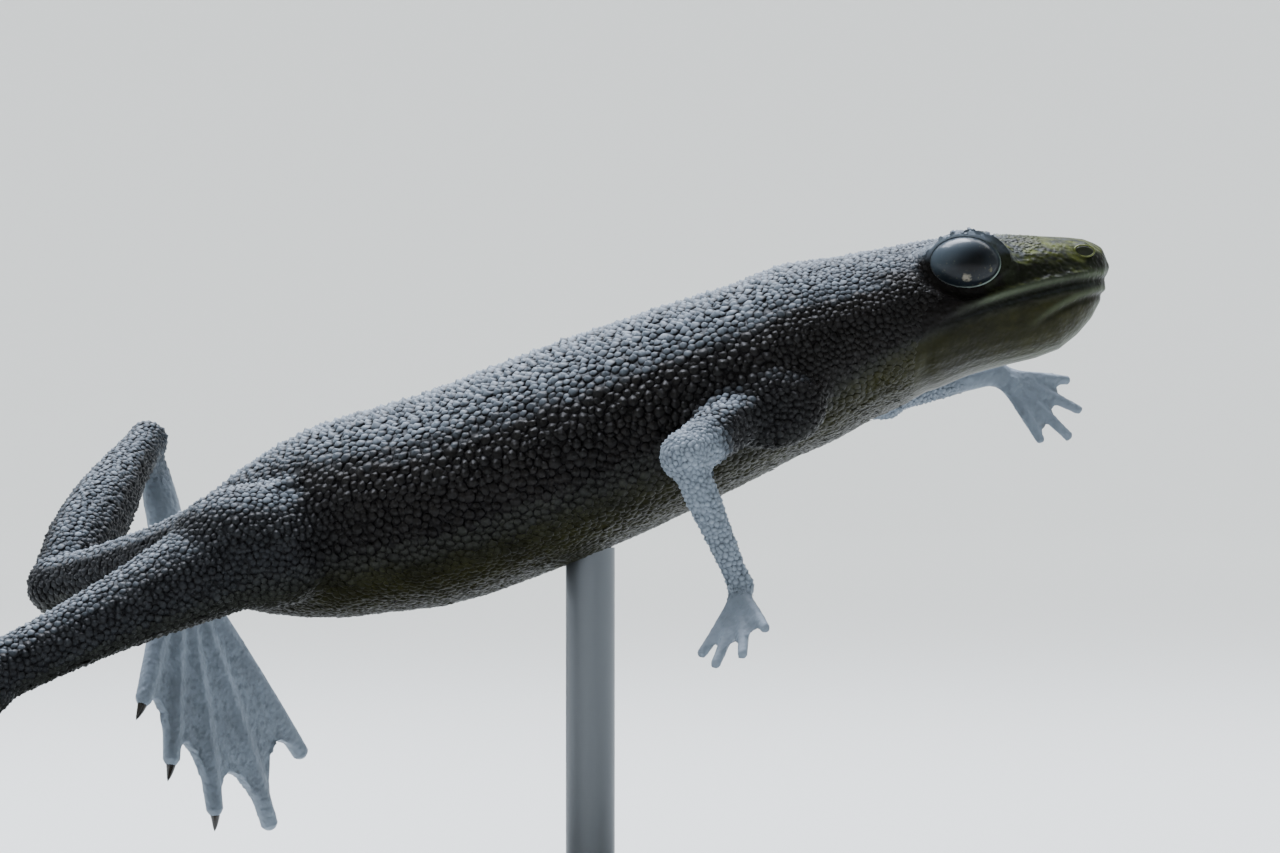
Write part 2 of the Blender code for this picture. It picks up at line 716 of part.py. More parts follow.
def main():
    clear_scene()
    back = material("skin_back", SKIN_BACK, 0.55)
    limb = material("skin_limb", SKIN_LIMB, 0.55)
    throat = material("skin_throat", SKIN_JAW, 0.5)
    eye = material("eye", EYE_COLOUR, 0.08)
    slab = material("stand_slab", BASE_COLOUR, 0.35)
    steel = material("stand_steel", ROD_COLOUR, 0.3, 1.0)

    head = make_head()
    torso = make_torso()
    rump = make_rump()
    arms = make_arm("right", SHOULDER_R, ELBOW_R, WRIST_R, HAND_R, torso)
    arms += make_arm("left", SHOULDER_L, ELBOW_L, WRIST_L, HAND_L, torso)
    legs = make_leg("right", HIP_R, KNEE_R, ANKLE_R, FOOT_R, (rump, torso))
    legs += make_leg("left", HIP_L, KNEE_L, ANKLE_L, FOOT_L, (rump, torso))
    base = make_base()
    rod = make_rod(torso)

    frog = bpy.data.objects.new("frog_on_stand", None)
    bpy.context.scene.collection.objects.link(frog)
    place(head["head"], body_middle(NECK_SLICE), back, frog)
    place(head["lower_jaw"], (-JAW_BACK, 0, mouth_height(MOUTH_LENGTH)), throat, frog)
    for side, centre in both_sides(EYE_AT).items():
        place(head["eye_" + side], centre, eye, frog)
    place(torso, body_middle((NECK_SLICE + RUMP_SLICE) / 2), back, frog)
    place(rump, body_middle(RUMP_SLICE), back, frog)
    pivots = (SHOULDER_R, ELBOW_R, WRIST_R, SHOULDER_L, ELBOW_L, WRIST_L)
    for piece, pivot in zip(arms, pivots):
        place(piece, pivot, limb, frog)
    pivots = (HIP_R, KNEE_R, ANKLE_R, HIP_L, KNEE_L, ANKLE_L)
    for piece, pivot in zip(legs, pivots):
        place(piece, pivot, limb, frog)
    middle = (-SNOUT_AHEAD_OF_BASE_CENTRE, 0, base_top())
    place(base, middle, slab, frog)
    place(rod, (-ROD_BEHIND_SNOUT, 0, base_top()), steel, frog)

    parts = bpy.data.collections.new("african_dwarf_frog")
    bpy.context.scene.collection.children.link(parts)
    for obj in [frog, *frog.children]:
        bpy.context.scene.collection.objects.unlink(obj)
        parts.objects.link(obj)


main()
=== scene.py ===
"""African dwarf frog on its display stand: skin, granules, eyes, claws, stand, light and camera."""

import math
from functools import partial

import bmesh
import bpy
import numpy as np
from mathutils import Matrix, Quaternion, Vector
from mathutils.bvhtree import BVHTree
from mathutils.kdtree import KDTree


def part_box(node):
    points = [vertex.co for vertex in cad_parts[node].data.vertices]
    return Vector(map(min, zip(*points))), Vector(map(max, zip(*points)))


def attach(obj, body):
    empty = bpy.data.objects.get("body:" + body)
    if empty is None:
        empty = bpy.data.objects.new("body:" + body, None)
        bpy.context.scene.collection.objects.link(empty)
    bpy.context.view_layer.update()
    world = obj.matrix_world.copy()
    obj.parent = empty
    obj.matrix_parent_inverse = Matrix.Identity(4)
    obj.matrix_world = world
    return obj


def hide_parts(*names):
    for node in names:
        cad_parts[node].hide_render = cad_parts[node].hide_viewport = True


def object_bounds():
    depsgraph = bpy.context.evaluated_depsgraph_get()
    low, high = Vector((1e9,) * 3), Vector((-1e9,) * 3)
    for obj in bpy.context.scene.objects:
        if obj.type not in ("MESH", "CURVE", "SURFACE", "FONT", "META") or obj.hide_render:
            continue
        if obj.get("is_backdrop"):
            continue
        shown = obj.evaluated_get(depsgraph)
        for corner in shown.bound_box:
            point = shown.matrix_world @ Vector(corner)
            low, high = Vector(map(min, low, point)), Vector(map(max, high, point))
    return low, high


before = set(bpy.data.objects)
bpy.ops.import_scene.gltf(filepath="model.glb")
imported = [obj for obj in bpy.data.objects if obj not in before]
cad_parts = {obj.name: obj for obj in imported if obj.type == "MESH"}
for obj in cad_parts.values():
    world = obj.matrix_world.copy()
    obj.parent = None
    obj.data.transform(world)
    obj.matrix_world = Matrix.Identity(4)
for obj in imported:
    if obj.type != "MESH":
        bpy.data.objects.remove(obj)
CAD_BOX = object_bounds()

bl_info = {
    "name": "Dwarf frog model",
    "version": (1, 0, 0),
    "blender": (4, 5, 0),
    "location": "View3D > Sidebar > Frog",
    "description": "Builds a life-size African dwarf frog with granular skin on a display stand",
    "category": "Add Mesh",
}

# Lengths below are in millimetres unless a name says otherwise
MM = 0.001
SNOUT_TIP = Vector((22.0, 0.0, 26.6))
ROOT = "root"

BODY_NODES = ("head", "lower_jaw", "torso", "rump")
ARM_NODES = ("upper_arm_right", "forearm_right", "upper_arm_left", "forearm_left")
HAND_NODES = ("hand_right", "hand_left")
THIGH_NODES = ("thigh_right", "thigh_left")
SHANK_NODES = ("shank_right", "shank_left")
FOOT_NODES = ("foot_right", "foot_left")
GROUPS = (BODY_NODES, ARM_NODES, HAND_NODES, THIGH_NODES, SHANK_NODES, FOOT_NODES)
BODY, ARM, HAND, THIGH, SHANK, FOOT = range(len(GROUPS))
FLESH = tuple(name for group in GROUPS for name in group)

# Joints, where soft flesh bridges the gaps between the solids: place and size
JOINT_PADS = {
    "elbow_right": ((6.4, -9.0, 19.6), (0.92, 0.92, 0.92)),
    "wrist_right": ((8.4, -8.6, 15.0), (0.46, 0.46, 0.46)),
    "elbow_left": ((14.0, 8.1, 21.8), (0.92, 0.92, 0.92)),
    "wrist_left": ((18.2, 9.6, 22.7), (0.46, 0.46, 0.46)),
    "knee_right": ((-18.9, -6.8, 11.5), (1.45, 1.45, 1.35)),
    "ankle_right": ((-22.4, -17.2, 13.5), (0.80, 0.80, 0.80)),
    "knee_left": ((-17.2, 11.0, 14.6), (1.30, 1.30, 1.20)),
    "ankle_left": ((-14.5, 21.0, 20.1), (0.80, 0.80, 0.80)),
    "shoulder_right": ((9.4, -5.5, 21.4), (2.20, 1.10, 1.60)),
    "shoulder_left": ((10.6, 5.5, 21.6), (2.20, 1.10, 1.60)),
    "hip_right": ((-9.0, -3.6, 16.3), (3.30, 2.30, 2.30)),
    "hip_left": ((-9.2, 4.2, 16.3), (3.30, 2.30, 2.30)),
}

# Mouth line: height below the snout's level at a distance behind the tip of the snout
MOUTH_START = -0.62
MOUTH_SLOPE = 0.12
MOUTH_SAG = 0.024
MOUTH_LENGTH = 6.3

# Eyes: half sizes of the ball along, up and out, how far its centre is sunk, and the lids' opening
EYEBALL = (1.42, 1.05, 1.12)
EYE_SUNK = 0.12
EYE_OPENING = (1.28, 0.92)
EYE_FILL = (1.46, 1.12, 1.02)

# Share of the fused skin's faces that is kept when those under the granules are thinned
HIDDEN_RATIO = 0.56

# Nostrils: distance behind the snout's tip, height above it, and half sizes of the opening
NOSTRIL_BACK = 0.98
NOSTRIL_UP = 0.46
NOSTRIL_SPAN = (0.37, 0.23)

# Digits as spread in the solids: degrees from the axis and length, inner one first
FINGERS = ((-30.0, 2.1), (-10.0, 2.8), (10.0, 2.7), (30.0, 2.0))
TOES = ((-34.0, 5.2), (-18.0, 7.2), (-3.0, 9.2), (13.0, 10.6), (31.0, 9.2))
PALM = (1.0, 1.2)
TARSUS = (5.6, 1.5)
ROOT_SPREAD = 0.36
CLAWED_TOES = 3
DIGIT_SWELL = 0.45
TOE_WIDTH = 0.34
FINGER_WIDTH = 0.27

# Wrist or ankle, the way the hand or foot points, the side of its outer digit, curl, digits, palm
LIMB_ENDS = {
    "hand_right": ((8.4, -8.6, 15.0), (-0.08, -0.66, -0.75), (-0.80, 0.50, -0.36), 0.10, FINGERS, PALM),
    "hand_left": ((18.2, 9.6, 22.7), (0.86, 0.10, -0.50), (0.30, 0.45, 0.80), 0.10, FINGERS, PALM),
    "foot_right": ((-22.4, -17.2, 13.5), (-0.80, -0.26, -0.52), (0.30, -0.92, -0.1), -0.05, TOES, TARSUS),
    "foot_left": ((-14.5, 21.0, 20.1), (0.22, 0.00, -0.97), (0.60, 0.78, 0.15), 0.05, TOES, TARSUS),
}

# A Mix node set to colours: its colour inputs are 6 and 7, and its colour output is 2
COLOURS = {"output": 2, "data_type": "RGBA"}

# Distances behind the tip of the snout: the face, for which the skin's grid is halved, where the
# thinning of the covered skin starts, and where the head's granules end. The face's half width
FACE_LENGTH = 7.2
THINNED_FROM = 9.5
HEAD_LENGTH = 11.5
FACE_SIDE = 5.2

# Rounds of smoothing where the limbs grow out of the trunk
ROOT_ROUNDS = 45

# Height of a granule as a share of the distance between granules, and the distance on the rump
TALL_TRUNK = 0.54
TALL_HEAD = 0.46
TALL_LIMB = 0.42
RUMP_SPACING = 0.29
LEAST_HEIGHT = 0.016

# A granule's sides, and the radii at which its cone is cut to round it off
GRANULE_SIDES = 6
GRANULE_CUTS = (0.72, 0.42, 0.14)

# Thickness of the lids' edge and of the nostrils' edge, and half sizes of the pit in a nostril
LID_EDGE = 0.028
NOSTRIL_EDGE = 0.034
NOSTRIL_PIT = (0.33, 0.19, 0.03)

# What every bevel here has in common
BEVEL = {"profile": 0.5, "affect": "EDGES", "material": -1}

# What the operators hand on to each other: the skin, its shares, marks, spacing, height and nostrils
made = {}


def linear(hex_colour):
    """sRGB hex to the linear colour that Blender works in."""
    values = []
    for start in (0, 2, 4):
        s = int(hex_colour[start : start + 2], 16) / 255
        values.append(s / 12.92 if s <= 0.04045 else ((s + 0.055) / 1.055) ** 2.4)
    return tuple(values)


# Shades that only go with the colours of the settings
STREAK = linear("343B2C")
# Painted shade in the mouth's crease and under the jaw's fold
CREASE_SHADE = linear("12130F")
# Painted shade in the pits between granules
PIT_SHADE = linear("0D0C0D")
VEIN = linear("3A434B")
# Painted shade at the foot of the granules
GRANULE_FOOT_SHADE = linear("0A090A")
IRIS_FLECK = linear("6E6A4C")
EYE_FLECK = linear("857F70")
NOSTRIL_FLOOR = linear("272B14")
CLAW_DARK = linear("14120F")
CLAW_PALE = linear("2A241C")


def colour_property(name, description, hex_colour):
    return bpy.props.FloatVectorProperty(
        name=name, description=description, subtype="COLOR", size=3, min=0, max=1,
        default=linear(hex_colour),
    )


def length_property(name, description, millimetres):
    return bpy.props.FloatProperty(
        name=name, description=description, subtype="DISTANCE", unit="LENGTH", default=millimetres * MM
    )


class FrogSkinSettings(bpy.types.PropertyGroup):
    voxel: length_property("Skin voxel", "Grid that the flesh is fused on", 0.155)
    bridge: length_property("Bridged gap", "How far the flesh swells to close gaps at its joints", 0.24)
    smoothing: bpy.props.IntProperty(
        name="Smoothing", description="Rounds in which the fused skin is smoothed", default=8, min=0
    )
    back: colour_property("Back", "Slate grey of the back", "444B53")
    # Painted shade: the sides, cheeks and upper arms are coloured brown-black for the shade they lie in
    flank_shade: colour_property("Flank", "Brown-black of the sides", "171412")
    # The belly's and throat's olive is darkened in part as painted shade
    belly: colour_property("Belly", "Dark olive of the belly and throat", "26260D")
    snout: colour_property("Snout", "Dark olive of the snout", "171A0E")
    moss: colour_property("Snout mottle", "Yellow-green flecks on the snout", "6C7524")
    web: colour_property("Webs", "Grey of the hands, feet and webs", "707C88")
    lip: colour_property("Lips", "Pale grey-green of the lip and the fold below it", "66705A")
    # Painted light: the tip colour is also laid on the skin's upper sides and on granule tips that face
    # up, where light falls from above
    tip: colour_property("Granule tips", "Pale blue-grey at the tips of the granules", "A9B5C2")


class FrogGranuleSettings(bpy.types.PropertyGroup):
    trunk: length_property("Trunk spacing", "Distance between granules on the trunk", 0.33)
    head: length_property("Head spacing", "Distance between granules on the head and nape", 0.235)
    limb: length_property("Limb spacing", "Distance between granules on the limbs", 0.25)
    belly: length_property("Belly spacing", "Distance between granules on the belly", 0.27)
    seed: bpy.props.IntProperty(name="Seed", description="Changes the places of the granules", default=7)


class FrogEyeSettings(bpy.types.PropertyGroup):
    iris: colour_property("Iris", "Slate blue of the iris", "14191E")
    pupil: colour_property("Pupil", "Black of the pupil", "06080B")
    haze: colour_property("Haze", "Smoky slate of the clear skin behind", "4B565F")
    rim: colour_property("Lid rim", "Pale grey-green of the lids' edge", "8FA096")


class FrogStandSettings(bpy.types.PropertyGroup):
    slab: colour_property("Slab", "Charcoal of the base", "2B2C2E")
    steel: colour_property("Rod", "Steel of the rod", "6F7377")


class FrogStageSettings(bpy.types.PropertyGroup):
    paper: colour_property("Paper", "Pale grey of floor and backdrop", "DFE1DF")
    distance: length_property("Camera distance", "From the lens to the frog's middle", 300.0)


# Shared helpers


def link_object(name, mesh):
    obj = bpy.data.objects.new(name, mesh)
    bpy.context.scene.collection.objects.link(obj)
    return obj


def mesh_from(bm, name, smooth=True):
    mesh = bpy.data.meshes.new(name)
    bm.to_mesh(mesh)
    bm.free()
    if smooth:
        mesh.shade_smooth()
    return mesh


def evaluated(obj):
    bpy.context.view_layer.update()
    graph = bpy.context.evaluated_depsgraph_get()
    mesh = bpy.data.meshes.new_from_object(obj.evaluated_get(graph))
    obj.modifiers.clear()
    old = obj.data
    obj.data = mesh
    bpy.data.meshes.remove(old)
    return obj


def joined_verts(start):
    """The given vertices with all that edges join to them."""
    found = set(start)
    front = list(found)
    while front:
        for edge in front.pop().link_edges:
            for vert in edge.verts:
                if vert not in found:
                    found.add(vert)
                    front.append(vert)
    return found


def surface_tree(*meshes):
    bm = bmesh.new()
    for mesh in meshes:
        bm.from_mesh(mesh)
    tree = BVHTree.FromBMesh(bm)
    bm.free()
    return tree


def add_ball(bm, middle, size, u=20, v=12, turn=None):
    """An ellipsoid in millimetres, placed in a bmesh in metres."""
    new = bmesh.ops.create_uvsphere(bm, u_segments=u, v_segments=v, radius=1.0)["verts"]
    matrix = Matrix.Translation(Vector(middle) * MM) @ (turn or Matrix.Identity(4))
    matrix = matrix @ Matrix.Diagonal((*(Vector(size) * MM), 1.0))
    bmesh.ops.transform(bm, matrix=matrix, verts=new)
    bm.verts.index_update()
    bm.faces.index_update()
    own = {face for vert in new for face in vert.link_faces}
    count = len(bm.verts)

    def rank(face):
        # Blender makes a ball's faces in another order each run, so theirs follows their corners
        if face not in own:
            return face.index
        a, b, c = (count - vert.index for vert in face.verts[:3])
        return (a * count + b) * count + c

    bm.faces.sort(key=rank)
    return new


def add_ring(bm, span, thickness, segments):
    """An oval ring that lies flat, of half sizes in millimetres: a small circle, spun and stretched."""
    seam = bmesh.ops.create_circle(bm, segments=10, radius=thickness * MM)["verts"]
    place = Matrix.Translation((MM, 0, 0)) @ Matrix.Rotation(math.radians(90), 4, "X")
    bmesh.ops.transform(bm, matrix=place, verts=seam)
    edges = list({e for v in seam for e in v.link_edges})
    spun = bmesh.ops.spin(
        bm, geom=seam + edges, axis=(0, 0, 1), cent=(0, 0, 0), steps=segments,
        angle=math.tau, use_merge=True,
    )
    ring = joined_verts(seam + [g for g in spun["geom_last"] if isinstance(g, bmesh.types.BMVert)])
    for vert in ring:
        spoke = Vector((vert.co.x, vert.co.y, 0)).normalized()
        offset = vert.co - spoke * MM
        vert.co = Vector((spoke.x * span[0], spoke.y * span[1], 0)) * MM + offset
    return ring


def node_middle(name):
    low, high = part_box(name)
    return (low + high) / 2


def matrix_of(columns):
    return Matrix(columns).transposed().to_4x4()


def eye_frames():
    """Each eye's middle in millimetres, and its directions along the head, up and outward."""
    found = {}
    for side in ("right", "left"):
        middle = node_middle("eye_" + side) / MM + Vector((-0.21, 0, -0.06))
        out = math.copysign(1.0, middle.y)
        outward = Vector((0.10, out, 0.12)).normalized()
        along = (Vector((1, 0, 0)) - outward * outward.x).normalized()
        up = outward.cross(along) * -out
        found[side] = (middle, along, up, outward)
    return found


def eye_coordinates(points, eye):
    """Points in millimetres in an eye's own directions, and how far out they are from its opening."""
    middle, along, up, outward = (np.array(v) for v in eye)
    local = points - middle
    u = local @ along
    v = local @ up
    w = local @ outward
    return u, v, w, np.hypot(u / EYE_OPENING[0], v / EYE_OPENING[1])


def ball_rise(u, v):
    """How far the eyeball's front stands out from the eye's middle."""
    left = np.clip(1 - (u / EYEBALL[0]) ** 2 - (v / EYEBALL[1]) ** 2, 0, 1)
    return EYEBALL[2] * np.sqrt(left) - EYE_SUNK


def digit_paths(end):
    """The palm's path and each digit's path, as the solids spread them, and the upright across them."""
    start, forward, outer, curl, digits, (palm, width) = LIMB_ENDS[end]
    forward = Vector(forward).normalized()
    outward = Vector(outer)
    outward = (outward - forward * outward.dot(forward)).normalized()
    normal = forward.cross(outward)
    last = len(digits) - 1
    knuckle = Vector(start) + forward * palm
    paths = [[Vector(start), knuckle]]
    for number, (degrees, length) in enumerate(digits):
        root = knuckle + outward * width * ROOT_SPREAD * (2 * number / last - 1)
        way = Quaternion(normal, math.radians(degrees)) @ forward
        path = []
        for share in (0.0, 0.25, 0.5, 0.75, 1.0):
            bend = normal * curl * (share * length) ** 2 / digits[-2][1]
            path.append(root + way * share * length - bend)
        paths.append(path)
    return paths, normal


def distance_to_path(points, path):
    nearest = np.full(len(points), 1e9)
    for start, end in zip(path, path[1:]):
        start = np.array(start)
        step = np.array(end) - start
        share = np.clip((points - start) @ step / (step @ step), 0, 1)
        gap = np.linalg.norm(points - start - share[:, None] * step, axis=1)
        nearest = np.minimum(nearest, gap)
    return nearest


def set_inputs(tree, shader_node, inputs):
    """Sets each input of a node to a value, or links it to another node's output."""
    for key, value in inputs.items():
        socket = shader_node.inputs[key]
        if isinstance(value, bpy.types.NodeSocket):
            tree.links.new(value, socket)
        else:
            socket.default_value = value


def add_node(tree, kind, inputs=None, output=0, **settings):
    """Adds a shader node with its settings and inputs, and gives one output, or all when it is None."""
    added = tree.nodes.new("ShaderNode" + kind)
    for key, value in settings.items():
        setattr(added, key, value)
    set_inputs(tree, added, inputs or {})
    return added.outputs if output is None else added.outputs[output]


def new_material(name):
    """A material, the node adder for its tree, and the pattern coordinates in metres on the object."""
    material = bpy.data.materials.new(name)
    material.use_nodes = True
    node = partial(add_node, material.node_tree)
    return material, node, node("TexCoord", output="Object")


def finish_material(material, inputs):
    tree = material.node_tree
    set_inputs(tree, tree.nodes["Principled BSDF"], inputs)
    return material


def rgba(colour):
    return (*colour, 1.0)


# Skin


def smoothstep(low, high, value):
    t = np.clip((value - low) / (high - low), 0, 1)
    return t * t * (3 - 2 * t)


def fused_flesh(settings):
    """The solids of flesh with pads at the joints, swollen and fused on a grid into one surface."""
    bm = bmesh.new()
    for name in FLESH:
        known = len(bm.verts)
        bm.from_mesh(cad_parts[name].data)
        swell = DIGIT_SWELL if name in HAND_NODES + FOOT_NODES else 1.0
        weigh(bm, known, swell)
    bmesh.ops.remove_doubles(bm, verts=bm.verts, dist=1e-6)
    known = len(bm.verts)
    for middle, size in JOINT_PADS.values():
        add_ball(bm, middle, size)
    for middle, *_ in eye_frames().values():
        add_ball(bm, middle, EYE_FILL, 32, 24)
    weigh(bm, known, 1.0)
    skin = link_object("skin", mesh_from(bm, "skin"))
    skin.vertex_groups.new(name="swell")
    swell = skin.modifiers.new("swell", "DISPLACE")
    swell.mid_level = 0.0
    swell.strength = settings.bridge
    swell.vertex_group = "swell"
    fuse = skin.modifiers.new("fuse", "REMESH")
    fuse.mode = "VOXEL"
    fuse.voxel_size = settings.voxel
    fuse.use_smooth_shade = True
    return largest_piece(evaluated(skin))


def largest_piece(obj):
    """Drops crumbs that fusing leaves at the thinnest ends."""
    bm = bmesh.new()
    bm.from_mesh(obj.data)
    left = set(bm.verts)
    pieces = []
    while left:
        pieces.append(joined_verts([left.pop()]))
        left -= pieces[-1]
    pieces.sort(key=len)
    for piece in pieces[:-1]:
        bmesh.ops.delete(bm, geom=list(piece), context="VERTS")
    bm.to_mesh(obj.data)
    bm.free()
    return obj


def thin_covered(obj, points, shares):
    """Fewer faces where granules hide the skin: trunk behind the head, arms and legs."""
    digits = shares[:, HAND] + shares[:, FOOT]
    behind = SNOUT_TIP.x - points[:, 0] > THINNED_FROM
    hidden = (digits < 0.1) & (behind | (shares[:, BODY] < 0.5))
    group = obj.vertex_groups.new(name="hidden")
    group.add(np.flatnonzero(hidden).tolist(), 1.0, "REPLACE")
    fewer = obj.modifiers.new("fewer", "DECIMATE")
    fewer.ratio = HIDDEN_RATIO
    fewer.vertex_group = group.name
    return evaluated(obj)


def weigh(bm, known, weight):
    """Gives the vertices added after the known ones their share of the swelling."""
    layer = bm.verts.layers.deform.verify()
    bm.verts.ensure_lookup_table()
    for vert in bm.verts[known:]:
        vert[layer][0] = weight


def refine_face(obj):
    """Halves the grid on the front of the head, for lips, lids and nostrils."""
    bm = bmesh.new()
    bm.from_mesh(obj.data)
    front = (SNOUT_TIP.x - FACE_LENGTH) * MM
    side = FACE_SIDE * MM
    chosen = [e for e in bm.edges if all(v.co.x > front and abs(v.co.y) < side for v in e.verts)]
    bmesh.ops.subdivide_edges(bm, edges=chosen, cuts=1, use_grid_fill=True)
    bm.to_mesh(obj.data)
    bm.free()


def read_vectors(items, key):
    vectors = np.zeros(len(items) * 3, np.float32)
    items.foreach_get(key, vectors)
    return vectors.reshape(-1, 3).astype(np.float64)


def read_points(mesh):
    return read_vectors(mesh.vertices, "co") / MM


def read_normals(mesh):
    return read_vectors(mesh.vertex_normals, "vector")


def write_points(mesh, points):
    mesh.vertices.foreach_set("co", (points * MM).astype(np.float32).ravel())
    mesh.update()


def group_shares(points):
    """How far each point belongs to body, arm, hand, thigh, shank and foot: shares that add to one."""
    trees = [surface_tree(*(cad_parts[name].data for name in group)) for group in GROUPS]
    reach = 0.5
    gaps = np.zeros((len(points), len(trees)))
    for k, tree in enumerate(trees):
        find = tree.find_nearest
        gaps[:, k] = [find(Vector(p))[3] / MM for p in points * MM]
    shares = np.exp(-gaps / reach)
    return shares / shares.sum(axis=1, keepdims=True)


def smooth_points(mesh, points, strength, rounds):
    """Evens the surface without shrinking it: each round steps towards the neighbours and back."""
    count = len(mesh.edges)
    ends = np.zeros(count * 2, np.int32)
    mesh.edges.foreach_get("vertices", ends)
    ends = ends.reshape(-1, 2)
    degree = np.bincount(ends.ravel(), minlength=len(points))[:, None]
    for pace in (0.50, -0.52) * rounds:
        total = np.zeros_like(points)
        for axis in range(3):
            total[:, axis] = np.bincount(ends[:, 0], points[ends[:, 1], axis], len(points))
            total[:, axis] += np.bincount(ends[:, 1], points[ends[:, 0], axis], len(points))
        points = points + (total / degree - points) * pace * strength[:, None]
    return points


def root_shares(points):
    """Where the limbs grow out of the trunk and soft flesh runs over from one to the other."""
    near = np.zeros(len(points))
    for joint, (middle, size) in JOINT_PADS.items():
        if joint.startswith(("shoulder", "hip")):
            away = np.linalg.norm(points - np.array(middle), axis=1)
            near = np.maximum(near, smoothstep(max(size) + 1.8, max(size) + 0.4, away))
    return near


def mouth_height(back):
    return SNOUT_TIP.z + 0.1 + MOUTH_START - MOUTH_SLOPE * back - MOUTH_SAG * back**2


def mouth_rise(points):
    """How far each point lies above the mouth line, and how far behind the tip of the snout."""
    back = SNOUT_TIP.x - points[:, 0]
    return points[:, 2] - mouth_height(back), back


def jaw_fold(rise, back):
    """Distance above the fold that runs back and down along the lower jaw."""
    return rise + 0.36 + 0.09 * back**2


def face_moves(points, normals):
    """Mouth crease, lip ridge and the fold along the lower jaw, as moves along the normals."""
    rise, back = mouth_rise(points)
    along = smoothstep(MOUTH_LENGTH + 0.6, MOUTH_LENGTH - 1.0, back) * smoothstep(-1.5, -0.5, back)
    facing = smoothstep(0.15, 0.6, np.hypot(normals[:, 0], normals[:, 1]))
    behind = smoothstep(0.1, 1.3, back)
    move = -0.045 * np.exp(-((rise / 0.09) ** 2))
    move += 0.050 * np.exp(-(((rise - 0.26) / 0.16) ** 2)) * behind
    move += 0.020 * np.exp(-(((rise + 0.20) / 0.12) ** 2)) * behind
    fold = jaw_fold(rise, back)
    reach = smoothstep(3.2, 1.8, back)
    move += 0.040 * np.exp(-((fold / 0.13) ** 2)) * reach
    move -= 0.060 * np.exp(-(((fold + 0.22) / 0.11) ** 2)) * reach
    return move * along * facing


def seat_eyes(points):
    """Opens the skin over each eyeball and brings its edge down onto the ball as a soft lid."""
    for eye in eye_frames().values():
        u, v, w, span = eye_coordinates(points, eye)
        angle = np.arctan2(v / EYE_OPENING[1], u / EYE_OPENING[0])
        edge = ball_rise(EYE_OPENING[0] * np.cos(angle), EYE_OPENING[1] * np.sin(angle))
        ahead = smoothstep(-0.3, 0.7, np.cos(angle))
        lid = edge + 0.03 - (1.6 + 2.6 * ahead) * (span - 1) ** 2
        under = ball_rise(u, v) - 0.16
        opened = under + (lid - under) * smoothstep(0.94, 1.03, span)
        hold = (1 - smoothstep(1.05 - 0.05 * ahead, 1.70 - 0.22 * ahead, span)) * smoothstep(-0.7, 0.1, w)
        goal = np.where(span < 1.02, opened, w + (lid - w) * hold)
        near = (w > -0.9) & (span < 2.0)
        shift = np.where(near, goal - w, 0.0)
        points = points + shift[:, None] * np.array(eye[3])
    return points


def nostril_frames(mesh):
    """Where each nostril lies on the snout: its place, and its directions along, up and outward."""
    surface = surface_tree(mesh)
    found = {}
    for side, out in (("right", -1.0), ("left", 1.0)):
        start = Vector((SNOUT_TIP.x - NOSTRIL_BACK, 6 * out, SNOUT_TIP.z + NOSTRIL_UP)) * MM
        place, normal, _, _ = surface.ray_cast(start, Vector((0, -out, 0)))
        along = (Vector((1, 0, 0)) - normal * normal.x).normalized()
        found[side] = (place / MM, along, normal.cross(along) * -out, normal)
    return found


def sink_nostrils(points, frames):
    for nostril in frames.values():
        middle, along, up, outward = (np.array(v) for v in nostril)
        local = points - middle
        span = np.hypot(local @ along / NOSTRIL_SPAN[0], local @ up / NOSTRIL_SPAN[1])
        depth = np.where(np.abs(local @ outward) < 0.5, 0.16 * (1 - smoothstep(0.4, 1.0, span)), 0.0)
        points = points - depth[:, None] * outward
    return points


def thin_webs(points, normals, shares):
    """Draws the web in between the digits, so that the digits stand out as ridges."""
    ends = shares[:, HAND] + shares[:, FOOT]
    chosen = np.flatnonzero(ends > 0.5)
    near = points[chosen]
    thin = np.ones(len(near))
    flat = np.zeros(len(near))
    for end in LIMB_ENDS:
        paths, across = digit_paths(end)
        palm_gap = distance_to_path(near, paths[0])
        thin = np.minimum(thin, smoothstep(0.7, 1.2, palm_gap))
        mine = np.linalg.norm(near - np.array(paths[0][1]), axis=1) < 14
        flat[mine] = smoothstep(0.55, 0.85, np.abs(normals[chosen][mine] @ np.array(across)))
        for path in paths[1:]:
            thin = np.minimum(thin, smoothstep(0.30, 0.62, distance_to_path(near, path)))
    points = points.copy()
    points[chosen] -= normals[chosen] * 0.075 * (thin * flat)[:, None]
    web = np.zeros(len(points))
    web[chosen] = thin
    return points, web


def blunt_digits(points):
    """Rounds off the skin at the tips of fingers and toes."""
    points = points.copy()
    for end in LIMB_ENDS:
        paths, _ = digit_paths(end)
        width = TOE_WIDTH if end in FOOT_NODES else FINGER_WIDTH
        for number, path in enumerate(paths[1:]):
            clawed = end in FOOT_NODES and number < CLAWED_TOES
            # The neighbours of a clawed toe are far enough away for a wider reach
            around = 1.3 if clawed else 0.62
            way = (path[-1] - path[-2]).normalized()
            local = points - np.array(path[-1])
            ahead = local @ np.array(way)
            near = np.flatnonzero((ahead > -0.2) & (np.linalg.norm(local, axis=1) < around))
            aside = np.linalg.norm(local[near] - ahead[near, None] * np.array(way), axis=1)
            reach = 0.10 + width * np.clip(1 - (aside / width) ** 2, 0, 1)
            kept = -0.2 + reach * np.tanh((ahead[near] + 0.2) / reach)
            points[near] += (kept - ahead[near])[:, None] * np.array(way)
    return points


